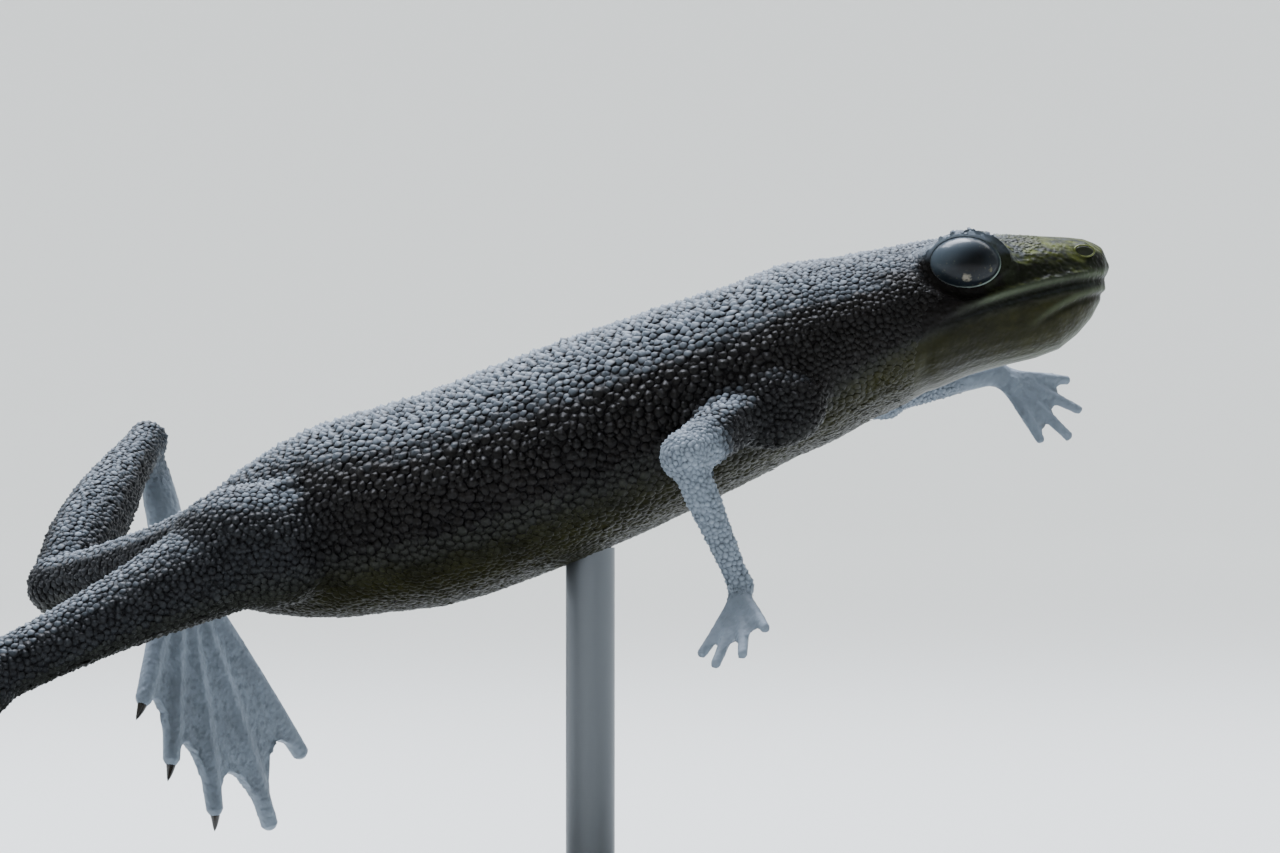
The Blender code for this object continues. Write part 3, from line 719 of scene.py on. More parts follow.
def regions(points, normals, shares):
    """Markings of skin and granules alike, from 0 to 1: belly, snout, painted shade on flanks, cheeks and
    upper arms, and pale ends with painted light on brows and forearms.
    """
    rise, back = mouth_rise(points)
    down = -normals[:, 2]
    trunk = shares[:, BODY]
    limb = shares[:, THIGH] + shares[:, SHANK]
    throat = smoothstep(HEAD_LENGTH, 6.0, back) * trunk * smoothstep(0.15, -0.6, rise)
    belly = np.clip(smoothstep(0.20, 0.90, down) * (trunk + 0.6 * limb) + throat, 0, 1)
    snout = smoothstep(5.8, 3.1, back + 0.3 * normals[:, 2]) * trunk * smoothstep(-0.5, 0.0, rise)
    # Painted shade: skin that faces sideways, away from the light above, takes the flanks' brown-black
    side = smoothstep(0.88, 0.50, normals[:, 2])
    # Painted light: the forearms are pale where light from above falls on them, and are left out of the
    # upper arm's painted shade
    lit_forearms = np.zeros(len(points))
    for arm in ("right", "left"):
        forearm = [JOINT_PADS[joint + arm][0] for joint in ("elbow_", "wrist_")]
        lit_forearms = np.maximum(lit_forearms, smoothstep(2.2, 0.9, distance_to_path(points, forearm)))
    flank_shade = side * (trunk + 0.75 * limb + 0.85 * shares[:, ARM] * (1 - lit_forearms))
    # Painted light: the brow above each eye is pale where it curves up into the light
    brow_light = np.zeros(len(points))
    for eye in eye_frames().values():
        u, v, w, span = eye_coordinates(points, eye)
        above = smoothstep(-0.1, 0.8, v) * smoothstep(-1.4, -0.7, w)
        # Painted shade on the cheek below each eye
        cheek_shade = smoothstep(0.0, -0.6, v) * smoothstep(3.4, 2.2, span) * smoothstep(-1.2, -0.4, w)
        flank_shade = np.maximum(flank_shade, cheek_shade * trunk) * (1 - smoothstep(2.4, 1.2, span) * above)
        behind = smoothstep(1.2, 0.0, u / EYE_OPENING[0])
        inward = smoothstep(-1.9, -0.4, w)
        brow_light = np.maximum(brow_light, smoothstep(1.9, 0.9, span) * above * behind * inward)
    flank_shade = flank_shade * (1 - 0.5 * belly)
    # Pale ends: hands and feet in their own pale grey, brows and forearms as painted light
    pale = shares[:, HAND] + shares[:, FOOT] + 0.9 * brow_light + shares[:, ARM] * lit_forearms
    return np.stack([belly, snout, np.clip(flank_shade, 0, 1), np.clip(pale, 0, 1)], axis=1)


def face_marks(points, normals, coat, web):
    """Marks of the skin alone: pale lip, painted light through the chin's thin edge, painted shade in the
    creases, web, and where granules cover it.
    """
    rise, back = mouth_rise(points)
    head = (np.abs(points[:, 1]) < 5.0) & (back < 8.5)
    along = smoothstep(6.0, 4.4, back) * head
    ripple = 0.72 + 0.28 * np.sin(2.3 * back + 1.7 * np.sin(1.1 * back))
    pale = np.exp(-(((rise - 0.21) / 0.15) ** 2)) * along * ripple
    fold = jaw_fold(rise, back)
    reach = smoothstep(3.4, 1.6, back) * head
    pale = np.maximum(pale, 0.8 * np.exp(-((fold / 0.12) ** 2)) * reach)
    # Painted light: the lower edge of the chin is pale where light shines through its thin skin
    chin_glow = np.exp(-((normals[:, 1] / 0.28) ** 2)) * smoothstep(6.5, 2.5, back) * head
    pale = np.maximum(pale, 0.7 * chin_glow * smoothstep(-0.25, -1.0, rise))
    # Painted shade along the mouth's crease and under the fold on the lower jaw
    crease_shade = np.exp(-((rise / 0.12) ** 2)) * along
    crease_shade = np.maximum(crease_shade, 0.8 * np.exp(-(((fold + 0.24) / 0.15) ** 2)) * reach)
    return np.stack([pale, crease_shade, web, coat], axis=1)


def unwrap(obj):
    """An unwrap of the skin's own shape, which the granules' patches are placed on."""
    obj.data.uv_layers.new(name="OFBake")
    bpy.ops.object.select_all(action="DESELECT")
    obj.select_set(True)
    bpy.context.view_layer.objects.active = obj
    bpy.ops.object.mode_set(mode="EDIT")
    bpy.ops.mesh.select_all(action="SELECT")
    bpy.ops.uv.smart_project(angle_limit=math.radians(66), island_margin=0.002)
    bpy.ops.object.mode_set(mode="OBJECT")


def point_uvs(mesh):
    loops = len(mesh.loops)
    corner = np.zeros(loops, np.int32)
    mesh.loops.foreach_get("vertex_index", corner)
    uv = np.zeros(loops * 2, np.float32)
    mesh.uv_layers["OFBake"].uv.foreach_get("vector", uv)
    found = np.zeros((len(mesh.vertices), 2))
    found[corner] = uv.reshape(-1, 2)
    return found


def set_marks(mesh, name, values):
    layer = mesh.attributes.new(name, "FLOAT_COLOR", "POINT")
    layer.data.foreach_set("color", values.astype(np.float32).ravel())


def skin_colour(node, settings, coords):
    """Moist frog skin: slate back, sides painted brown-black as shade, olive belly darkened in part as
    painted shade, and moss-flecked snout.
    """
    marks = node("Attribute", output=None, attribute_name="marks")
    belly, snout, flank_shade = node("SeparateColor", {0: marks["Color"]}, None)
    blotch = node("TexNoise", {"Vector": coords, "Scale": 1 / (2.6 * MM), "Detail": 3.0})
    fleck = node("TexNoise", {"Vector": coords, "Scale": 1 / (0.5 * MM), "Detail": 4.0})
    wide = node("MapRange", {0: blotch, 1: 0.40, 2: 0.62, 3: 0.62, 4: 1.0})
    fine = node("MapRange", {0: fleck, 1: 0.44, 2: 0.60, 3: 0.72, 4: 1.0})
    shade = node("Math", {0: wide, 1: fine}, operation="MULTIPLY")
    # Moss lies on the upper side of the snout only, in flecks stretched along it
    stretched = node("Mapping", {"Vector": coords, "Scale": (0.42, 1.0, 1.3)})
    moss = node("TexNoise", {"Vector": stretched, "Scale": 1 / (0.28 * MM), "Detail": 5.0})
    moss = node("MapRange", {0: moss, 1: 0.38, 2: 0.68, 4: 0.78})
    height = node("SeparateXYZ", {0: node("NewGeometry", output="Normal")}, "Z")
    above = node("MapRange", {0: height, 1: 0.40, 2: 0.85})
    moss = node("Math", {0: moss, 1: above}, operation="MULTIPLY")
    streak = node("TexNoise", {"Vector": stretched, "Scale": 1 / (0.7 * MM), "Detail": 3.0})
    streak = node("MapRange", {0: streak, 1: 0.48, 2: 0.66, 4: 0.45})
    snout_colour = node("Mix", {0: streak, 6: rgba(settings.snout), 7: rgba(STREAK)}, **COLOURS)
    snout_colour = node("Mix", {0: moss, 6: snout_colour, 7: rgba(settings.moss)}, **COLOURS)
    # The snout's colour ends in a ragged border
    ragged = node("MapRange", {0: fleck, 1: 0.3, 2: 0.7, 3: 0.2, 4: 1.8})
    ragged = node("Math", {0: snout, 1: ragged}, operation="MULTIPLY")
    reach = node("MapRange", {0: ragged, 1: 0.22, 2: 0.78})
    colour = rgba(settings.back)
    # Painted shade on the flanks first, then the pale ends with painted light on brows and forearms, the
    # belly and the snout
    for share, paint in (
        (flank_shade, rgba(settings.flank_shade)),
        (marks["Alpha"], rgba(settings.web)),
        (belly, rgba(settings.belly)),
        (reach, snout_colour),
    ):
        colour = node("Mix", {0: share, 6: colour, 7: paint}, **COLOURS)
    return node("Mix", {0: 1.0, 6: colour, 7: shade}, blend_type="MULTIPLY", **COLOURS)


def skin_material(settings):
    """Wet amphibian skin, smooth between the granules: soft gloss and a fine cobbled relief."""
    material, node, coords = new_material("moist_frog_skin")
    colour = skin_colour(node, settings, coords)
    face = node("Attribute", output=None, attribute_name="face")
    pale, crease_shade, web = node("SeparateColor", {0: face["Color"]}, None)
    marks = node("Attribute", output=None, attribute_name="marks")
    belly, snout, flank_shade = node("SeparateColor", {0: marks["Color"]}, None)
    # Pale lips and jaw fold, with painted light through the chin's edge; painted shade in the creases
    pale = node("Math", {0: pale, 1: 0.5}, operation="MULTIPLY")
    crease_shade = node("Math", {0: crease_shade, 1: 0.75}, operation="MULTIPLY")
    # Painted shade: dark between the granules, less so on the pale ends of the limbs
    soften = node("MapRange", {0: marks["Alpha"], 3: 0.72, 4: 0.252})
    pit_shade = node("Math", {0: face["Alpha"], 1: soften}, operation="MULTIPLY")
    # Painted light: upper sides are paler where light falls from above, but not the snout and the shaded
    # flanks
    height = node("SeparateXYZ", {0: node("NewGeometry", output="Normal")}, "Z")
    above = node("MapRange", {0: height, 1: 0.1, 2: 0.9, 4: 0.45})
    dull = node("Math", {0: snout, 1: flank_shade}, operation="MAXIMUM")
    other = node("Math", {0: 1.0, 1: dull}, operation="SUBTRACT")
    lit = node("Math", {0: above, 1: other}, operation="MULTIPLY")
    ends = node("Math", {0: marks["Alpha"], 1: 0.30}, operation="MULTIPLY")
    lit = node("Math", {0: lit, 1: ends}, operation="MAXIMUM")
    vein = node("TexNoise", {"Vector": coords, "Scale": 1 / (0.30 * MM), "Detail": 5.0})
    vein = node("MapRange", {0: vein, 1: 0.46, 2: 0.66, 4: 0.42})
    vein = node("Math", {0: web, 1: vein}, operation="MULTIPLY")
    for share, paint in (
        (lit, settings.tip), (pale, settings.lip), (crease_shade, CREASE_SHADE), (pit_shade, PIT_SHADE), (vein, VEIN)
    ):
        colour = node("Mix", {0: share, 6: colour, 7: rgba(paint)}, **COLOURS)
    # A wrinkled relief with cobbles on it, which are lower on throat and belly
    wrinkle = node("TexNoise", {"Vector": coords, "Scale": 1 / (0.42 * MM), "Detail": 5.0})
    relief = node("Bump", {"Height": wrinkle, "Strength": 0.6, "Distance": 0.06 * MM})
    cobble = node("TexVoronoi", {"Vector": coords, "Scale": 1 / (0.17 * MM)}, feature="SMOOTH_F1")
    strength = node("MapRange", {0: belly, 3: 1.0, 4: 0.45})
    cobbles = {"Height": cobble, "Strength": strength, "Distance": 0.05 * MM, "Normal": relief}
    return finish_material(material, {
        "Base Color": colour,
        "Normal": node("Bump", cobbles, invert=True),
        "Roughness": 0.46,
        "Specular IOR Level": 0.09,
        "Subsurface Weight": 0.06,
        "Subsurface Radius": (1.0, 0.8, 0.55),
        "Subsurface Scale": 0.3 * MM,
    })


class FROG_OT_skin(bpy.types.Operator):
    """One unbroken skin over head, body, arms and legs"""

    bl_idname = "frog.skin"
    bl_label = "Frog skin"

    def execute(self, context):
        settings = context.scene.frog_skin
        skin = fused_flesh(settings)
        points = read_points(skin.data)
        mesh = thin_covered(skin, points, group_shares(points)).data
        points = read_points(mesh)
        shares = group_shares(points)
        digits = shares[:, HAND] + shares[:, FOOT]
        swollen = settings.bridge / MM * (1 - (1 - DIGIT_SWELL) * digits)
        points = points - read_normals(mesh) * swollen[:, None]
        strength = np.clip(1.0 - 0.55 * digits, 0.2, 1.0)
        points = smooth_points(mesh, points, strength, settings.smoothing)
        points = smooth_points(mesh, points, root_shares(points), ROOT_ROUNDS)
        write_points(mesh, blunt_digits(points))
        refine_face(skin)
        points = read_points(mesh)
        shares = group_shares(points)
        face = smoothstep(8.4, 7.4, SNOUT_TIP.x - points[:, 0]) * shares[:, BODY]
        points = smooth_points(mesh, points, face, 3)
        write_points(mesh, points)
        points = points + read_normals(mesh) * face_moves(points, read_normals(mesh))[:, None]
        points = seat_eyes(points)
        write_points(mesh, points)
        nostrils = nostril_frames(mesh)
        points = sink_nostrils(points, nostrils)
        write_points(mesh, points)
        normals = read_normals(mesh)
        points, web = thin_webs(points, normals, shares)
        marks = regions(points, normals, shares)
        spacing, height = spacing_and_height(points, normals, shares, marks, context.scene.frog_granules)
        points = points - normals * height[:, None] * 0.7
        write_points(mesh, points)
        set_marks(mesh, "marks", marks)
        set_marks(mesh, "face", face_marks(points, normals, smoothstep(0.03, 0.13, height), web))
        unwrap(skin)
        mesh.shade_smooth()
        mesh.materials.append(skin_material(settings))
        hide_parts(*FLESH)
        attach(skin, ROOT)
        made.update(skin=skin, shares=shares, marks=marks, nostrils=nostrils)
        made.update(spacing=spacing, height=height)
        print("skin triangles", sum(len(p.vertices) - 2 for p in mesh.polygons))
        return {"FINISHED"}


# Granules


def spacing_and_height(points, normals, shares, marks, settings):
    """Distance between granules and their height at each point of the skin; no height, no granule."""
    rise, back = mouth_rise(points)
    belly = marks[:, 0]
    body = shares[:, BODY]
    head = smoothstep(13.5, 10.8, back)
    rump = smoothstep(27.0, 32.0, back)
    spacing = settings.trunk / MM * (1 - head) + settings.head / MM * head
    spacing = spacing * (1 - rump) + RUMP_SPACING * rump
    spacing = spacing * (1 - belly) + settings.belly / MM * belly
    spacing = spacing * body + settings.limb / MM * (1 - body)
    share = TALL_TRUNK * (1 - head) + TALL_HEAD * head
    share = share * (1 - 0.25 * marks[:, 2]) * (1 - 0.62 * belly)
    share = share * body + TALL_LIMB * (1 - body) * (1 - 0.4 * belly)
    forearm = shares[:, ARM] * marks[:, 3]
    ends = smoothstep(0.25, 0.75, shares[:, HAND] + shares[:, FOOT])
    fade = np.zeros(len(points))
    for end, (start, *_) in LIMB_ENDS.items():
        reach = 1.2 if end in HAND_NODES else 2.8
        away = np.linalg.norm(points - np.array(start), axis=1)
        fade = np.maximum(fade, smoothstep(reach, 0.1 * reach, away))
    share *= 1 - ends * (1 - 0.6 * fade)
    spacing *= 1 - 0.25 * np.clip(forearm + ends, 0, 1)
    top = smoothstep(0.2, 0.9, normals[:, 2])
    bare = smoothstep(6.4, 4.4 - 0.9 * top, back + 1.5 * top)
    below = smoothstep(9.6, 5.6, back + 2.0 * smoothstep(-0.8, 0.4, rise)) * body
    bare = np.maximum(bare, below * smoothstep(0.9, -0.1, rise))
    lip = smoothstep(1.2, 0.5, np.abs(rise - 0.1)) * smoothstep(8.6, 6.4, back) * body
    bare = np.maximum(bare, lip)
    for eye in eye_frames().values():
        u, v, w, span = eye_coordinates(points, eye)
        front = smoothstep(-0.6, 0.3, u / EYE_OPENING[0] - v / EYE_OPENING[1])
        clear = smoothstep(1.20 + 0.45 * front, 1.06 + 0.12 * front, span)
        bare = np.maximum(bare, np.where(w > -0.6, clear, 0.0))
        close = smoothstep(2.4, 1.1, span) * (w > -1.0)
        spacing *= 1 - 0.28 * close
        share *= 1 - 0.72 * close
    return spacing * (1 - 0.32 * bare), share * spacing * (1 - bare)


def tree_of(places):
    tree = KDTree(len(places))
    for k, place in enumerate(places):
        tree.insert(place, k)
    tree.balance()
    return tree


def candidates(mesh, spacing, height, rng):
    """Random places on the skin where granules grow, with the distance wanted at each."""
    mesh.calc_loop_triangles()
    tris = np.zeros(len(mesh.loop_triangles) * 3, np.int32)
    mesh.loop_triangles.foreach_get("vertices", tris)
    tris = tris.reshape(-1, 3)
    corners = read_points(mesh)[tris]
    sides = corners[:, 1:] - corners[:, :1]
    area = np.linalg.norm(np.cross(sides[:, 0], sides[:, 1]), axis=1) / 2
    gap = spacing[tris].mean(axis=1)
    wanted = area / gap**2 * (height[tris].min(axis=1) > LEAST_HEIGHT)
    count = int(wanted.sum() * 8)
    chosen = rng.choice(len(tris), size=count, p=wanted / wanted.sum())
    mixing = rng.random((count, 2))
    over = mixing.sum(axis=1) > 1
    mixing[over] = 1 - mixing[over]
    corner = corners[chosen]
    places = corner[:, 0] + mixing[:, :1] * (corner[:, 1] - corner[:, 0])
    places = places + mixing[:, 1:] * (corner[:, 2] - corner[:, 0])
    return places, gap[chosen]


def thin_out(places, gaps, share):
    """Keeps the places that stand clear of those already kept."""
    tree = tree_of(places)
    dropped = np.zeros(len(places), bool)
    kept = []
    for k, place in enumerate(places):
        if dropped[k]:
            continue
        kept.append(k)
        for _, other, distance in tree.find_range(place, gaps[k] * share * 1.3):
            if distance < (gaps[k] + gaps[other]) / 2 * share:
                dropped[other] = True
    return places[kept], gaps[kept]


def scatter_roots(mesh, spacing, height, seed):
    """Places granules: random ones thinned to the spacing, pushed into an even net, and holes filled."""
    rng = np.random.default_rng(seed)
    tried, wanted = candidates(mesh, spacing, height, rng)
    wanted = wanted * rng.choice((0.86, 1.0, 1.16), size=len(wanted))
    places, gaps = thin_out(tried, wanted, 0.82)
    places = settle_roots(mesh, places, gaps)
    tree = tree_of(places)
    clear = [k for k, place in enumerate(tried) if tree.find(place)[2] > wanted[k] * 0.72]
    more, more_gaps = thin_out(tried[clear], wanted[clear] * 0.85, 0.82)
    return np.concatenate([places, more]), np.concatenate([gaps, more_gaps])


def settle_roots(mesh, places, gaps, rounds=3):
    """Pushes neighbours apart and draws them back to the skin."""
    surface = surface_tree(mesh)
    for _ in range(rounds):
        tree = tree_of(places)
        moved = places.copy()
        for k, place in enumerate(places):
            push = Vector((0, 0, 0))
            for co, other, distance in tree.find_range(place, gaps[k] * 1.3):
                reach = (gaps[k] + gaps[other]) / 2 * 1.1
                if other != k and 1e-6 < distance < reach:
                    push += (Vector(place) - co) / distance * (reach - distance)
            goal = (Vector(place) + push * 0.25) * MM
            moved[k] = np.array(surface.find_nearest(goal)[0]) / MM
        places = moved
    return places


def granule_shape():
    """One blunt pyramid of unit base radius and height, rounded at its tip, with its foot below zero."""
    bm = bmesh.new()
    bmesh.ops.create_cone(bm, cap_ends=True, segments=GRANULE_SIDES, radius1=1.0, radius2=0.0, depth=1.0)
    bmesh.ops.remove_doubles(bm, verts=bm.verts, dist=1e-4)
    for radius in GRANULE_CUTS:
        everything = bm.verts[:] + bm.edges[:] + bm.faces[:]
        bmesh.ops.bisect_plane(bm, geom=everything, plane_co=(0, 0, 0.5 - radius), plane_no=(0, 0, 1))
    bmesh.ops.triangulate(bm, faces=bm.faces[:])
    bmesh.ops.recalc_face_normals(bm, faces=bm.faces[:])
    for vert in bm.verts:
        r = math.hypot(vert.co.x, vert.co.y)
        vert.co.z = (1 - r) - 0.10 * r**2
    bm.verts.index_update()
    points = np.array([v.co[:] for v in bm.verts])
    faces = np.array([[v.index for v in f.verts] for f in bm.faces])
    bm.free()
    return points, faces


def lay_granules(name, roots, settings):
    """Copies the granule to every root, each a little uneven, as one mesh."""
    shape, faces = granule_shape()
    rng = np.random.default_rng(settings.seed + len(roots["place"]))
    count = len(roots["place"])
    up = roots["normal"] + np.array([-0.16, 0.0, 0.0]) * rng.uniform(0.3, 1.0, (count, 1))
    up += rng.normal(0, 0.07, (count, 3))
    up /= np.linalg.norm(up, axis=1, keepdims=True)
    side = np.cross(up, rng.normal(size=(count, 3)))
    side /= np.linalg.norm(side, axis=1, keepdims=True)
    other = np.cross(up, side)
    sector = np.round(np.arctan2(shape[:, 1], shape[:, 0]) / math.tau * GRANULE_SIDES).astype(int)
    flat = np.hypot(shape[:, 0], shape[:, 1])
    uneven = rng.uniform(0.78, 1.18, (count, GRANULE_SIDES))[:, sector % GRANULE_SIDES]
    shift = rng.normal(0, 0.10, (count, 2))[:, None, :] * (1 - flat)[None, :, None]
    base = (shape[None, :, :2] * uneven[:, :, None] + shift) * roots["radius"][:, None, None]
    tall = roots["height"] * rng.uniform(0.72, 1.22, count)
    rise = shape[None, :, 2] * tall[:, None]
    points = (
        roots["place"][:, None, :]
        + base[:, :, :1] * side[:, None, :]
        + base[:, :, 1:] * other[:, None, :]
        + rise[:, :, None] * up[:, None, :]
    )
    steps = np.arange(count)[:, None, None] * len(shape)
    triangles = (faces[None, :, :] + steps).reshape(-1, 3)
    mesh = bpy.data.meshes.new(name)
    mesh.vertices.add(count * len(shape))
    mesh.vertices.foreach_set("co", (points * MM).astype(np.float32).ravel())
    mesh.loops.add(len(triangles) * 3)
    mesh.loops.foreach_set("vertex_index", triangles.astype(np.int32).ravel())
    mesh.polygons.add(len(triangles))
    mesh.polygons.foreach_set("loop_start", np.arange(0, len(triangles) * 3, 3, dtype=np.int32))
    mesh.polygons.foreach_set("loop_total", np.full(len(triangles), 3, np.int32))
    mesh.update(calc_edges=True)
    mesh.shade_smooth()
    patch = 0.0015
    uv = roots["uv"][:, None, :] + shape[None, :, :2] * patch
    layer = mesh.uv_layers.new(name="OFBake")
    layer.uv.foreach_set("vector", uv.reshape(-1, 2)[triangles.ravel()].astype(np.float32).ravel())
    set_marks(mesh, "marks", np.repeat(roots["marks"], len(shape), axis=0))
    grain = np.ones((count, len(shape), 4))
    grain[:, :, 0] = np.clip(shape[:, 2], 0, 1)
    grain[:, :, 1] = rng.random((count, 1))
    grain[:, :, 2] = smoothstep(0.03, 0.13, roots["height"])[:, None]
    # How far the granule faces up, for the painted light on its tip
    grain[:, :, 3] = smoothstep(0.42, 0.84, roots["normal"][:, 2])[:, None]
    set_marks(mesh, "grain", grain.reshape(-1, 4))
    return link_object(name, mesh)


def granule_material(settings):
    """Horny granules of wet skin: painted shade near black at the foot, tips paler with painted light
    where they face up, and a little glossier at the tip.
    """
    material, node, coords = new_material("granular_frog_skin")
    colour = skin_colour(node, settings, coords)
    grain = node("Attribute", output=None, attribute_name="grain")
    tip, tone, relief = node("SeparateColor", {0: grain["Color"]}, None)
    marks = node("Attribute", output=None, attribute_name="marks")
    _, snout, flank_shade = node("SeparateColor", {0: marks["Color"]}, None)
    ends = marks["Alpha"]
    lighter = node("Math", {0: ends, 1: 0.3}, operation="MULTIPLY")
    # Painted shade: the foot is dark where granules are high, less so on the pale ends of the limbs
    foot = node("MapRange", {0: tip, 1: 0.08, 2: 0.46, 3: 0.90, 4: 0.0})
    for factor in (relief, node("MapRange", {0: ends, 3: 1.0, 4: 0.45})):
        foot = node("Math", {0: foot, 1: factor}, operation="MULTIPLY")
    # Painted light: the tip is pale on the upper side, where light falls from above, and on those ends,
    # and hardly so on the snout and the shaded flanks
    lit_upside = node("MapRange", {0: grain["Alpha"], 3: 0.04, 4: 1.0})
    ends = node("Math", {0: ends, 1: 0.7}, operation="MULTIPLY")
    lit_upside = node("Math", {0: lit_upside, 1: ends}, operation="MAXIMUM")
    dull = node("Math", {0: snout, 1: flank_shade}, operation="MAXIMUM")
    lit = node("MapRange", {0: dull, 3: 1.0, 4: 0.12})
    share = node("MapRange", {0: tip, 1: 0.20, 2: 0.80})
    for factor in (node("MapRange", {0: tone, 3: 0.40, 4: 0.85}), lit_upside, relief, lit):
        share = node("Math", {0: share, 1: factor}, operation="MULTIPLY")
    for part, paint in ((lighter, settings.tip), (foot, GRANULE_FOOT_SHADE), (share, settings.tip)):
        colour = node("Mix", {0: part, 6: colour, 7: rgba(paint)}, **COLOURS)
    rough = node("TexNoise", {"Vector": coords, "Scale": 1 / (0.09 * MM), "Detail": 3.0})
    return finish_material(material, {
        "Base Color": colour,
        "Normal": node("Bump", {"Height": rough, "Strength": 0.4, "Distance": 0.02 * MM}),
        "Roughness": 0.48,
        "Specular IOR Level": 0.15,
        "Coat Weight": 0.02,
        "Coat Roughness": 0.25,
    })


class FROG_OT_granules(bpy.types.Operator):
    """Granules all over the skin, large on the trunk and fine on the head and limbs"""

    bl_idname = "frog.granules"
    bl_label = "Skin granules"

    def execute(self, context):
        settings = context.scene.frog_granules
        mesh = made["skin"].data
        points = read_points(mesh)
        normals = read_normals(mesh)
        shares = made["shares"]
        height = made["height"]
        places, gaps = scatter_roots(mesh, made["spacing"], height, settings.seed)
        tree = tree_of(points)
        nearest = np.array([tree.find(place)[1] for place in places])
        uvs = point_uvs(mesh)
        group = shares[nearest].argmax(axis=1)
        back = SNOUT_TIP.x - places[:, 0]
        below = made["marks"][nearest, 0] > 0.5
        right = places[:, 1] < 0
        trunk = (group == BODY) & (back >= HEAD_LENGTH)
        sets = {
            "granules_head": (group == BODY) & (back < HEAD_LENGTH),
            "granules_back_right": trunk & ~below & right,
            "granules_back_left": trunk & ~below & ~right,
            "granules_belly_right": trunk & below & right,
            "granules_belly_left": trunk & below & ~right,
            "granules_arms": (group == ARM) | (group == HAND),
            "granules_leg_right": (group >= THIGH) & right,
            "granules_leg_left": (group >= THIGH) & ~right,
        }
        material = granule_material(context.scene.frog_skin)
        for name, chosen in sets.items():
            near = nearest[chosen]
            roots = {
                "place": places[chosen],
                "normal": normals[near],
                "radius": gaps[chosen] * 0.76,
                "height": height[near] * gaps[chosen] / made["spacing"][near],
                "uv": uvs[near],
                "marks": made["marks"][near],
            }
            coat = lay_granules(name, roots, settings)
            coat.data.materials.append(material)
            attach(coat, ROOT)
            print(name, int(chosen.sum()), len(coat.data.polygons))
        return {"FINISHED"}


# Eyes


def eyeball_material(settings):
    """Frog's eye under wet clear skin: black pupil, dark slate iris with flecks, smoky at the back, and
    paler towards the top as painted light.
    """
    material, node, coords = new_material("wet_eye")
    rings = node("Attribute", attribute_name="eye_rings")
    pupil, smoke, spot = node("SeparateColor", {0: rings}, None)
    fleck = node("TexNoise", {"Vector": coords, "Scale": 1 / (0.16 * MM), "Detail": 5.0})
    gold = node("MapRange", {0: fleck, 1: 0.60, 2: 0.74, 4: 0.45})
    iris = node("Mix", {0: gold, 6: rgba(settings.iris), 7: rgba(IRIS_FLECK)}, **COLOURS)
    edge = node("MapRange", {0: pupil, 1: 0.75, 2: 1.35})
    spot = node("Math", {0: spot, 1: fleck}, operation="MULTIPLY")
    spot = node("MapRange", {0: spot, 1: 0.26, 2: 0.46, 4: 0.8})
    colour = rgba(settings.pupil)
    for share, paint in ((edge, iris), (smoke, rgba(settings.haze)), (spot, rgba(EYE_FLECK))):
        colour = node("Mix", {0: share, 6: colour, 7: paint}, **COLOURS)
    return finish_material(material, {
        "Base Color": colour,
        "Roughness": 0.35,
        "Specular IOR Level": 0.1,
        "Coat Weight": 1.0,
        "Coat Roughness": 0.11,
        "Coat IOR": 1.19,
    })


def rim_material():
    """Thin edges of lids and nostrils, pale where light comes through them."""
    material, node, coords = new_material("thin_lid_and_nostril_edges")
    tint = node("Attribute", attribute_name="tint")
    patch = node("TexNoise", {"Vector": coords, "Scale": 1 / (0.22 * MM), "Detail": 3.0})
    shade = node("MapRange", {0: patch, 1: 0.35, 2: 0.65, 3: 0.55, 4: 1.0})
    return finish_material(material, {
        "Base Color": node("Mix", {0: 1.0, 6: tint, 7: shade}, blend_type="MULTIPLY", **COLOURS),
        "Roughness": 0.35,
        "Subsurface Weight": 0.2,
        "Subsurface Radius": (1.0, 1.0, 0.7),
        "Subsurface Scale": 0.1 * MM,
    })


def add_eyeball(side, eye, material):
    middle, along, up, outward = eye
    bm = bmesh.new()
    turn = matrix_of((along, up, outward))
    add_ball(bm, middle - outward * EYE_SUNK, EYEBALL, 72, 48, turn)
    bmesh.ops.recalc_face_normals(bm, faces=bm.faces[:])
    ball = link_object("eyeball_" + side, mesh_from(bm, "eyeball_" + side))
    u, v, w, span = eye_coordinates(read_points(ball.data), eye)
    pupil = np.hypot((u - 0.10) / 0.52, (v + 0.02) / 0.44)
    # Smoky clear skin at the back of the eye, made paler towards the top as painted light
    haze = smoothstep(-0.15, 1.05, -0.70 * u / EYE_OPENING[0] + 0.75 * v / EYE_OPENING[1])
    edge = smoothstep(0.80, 1.05, span)
    spot = np.exp(-((u / 0.26) ** 2) - ((v + 0.62) / 0.20) ** 2)
    smoke = np.maximum(haze, 0.45 * edge * smoothstep(-0.3, 0.4, v))
    rings = (pupil, np.clip(smoke, 0, 1), spot, np.ones(len(u)))
    set_marks(ball.data, "eye_rings", np.stack(rings, axis=1))
    ball.data.materials.append(material)
    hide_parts("eye_" + side)
    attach(ball, ROOT)


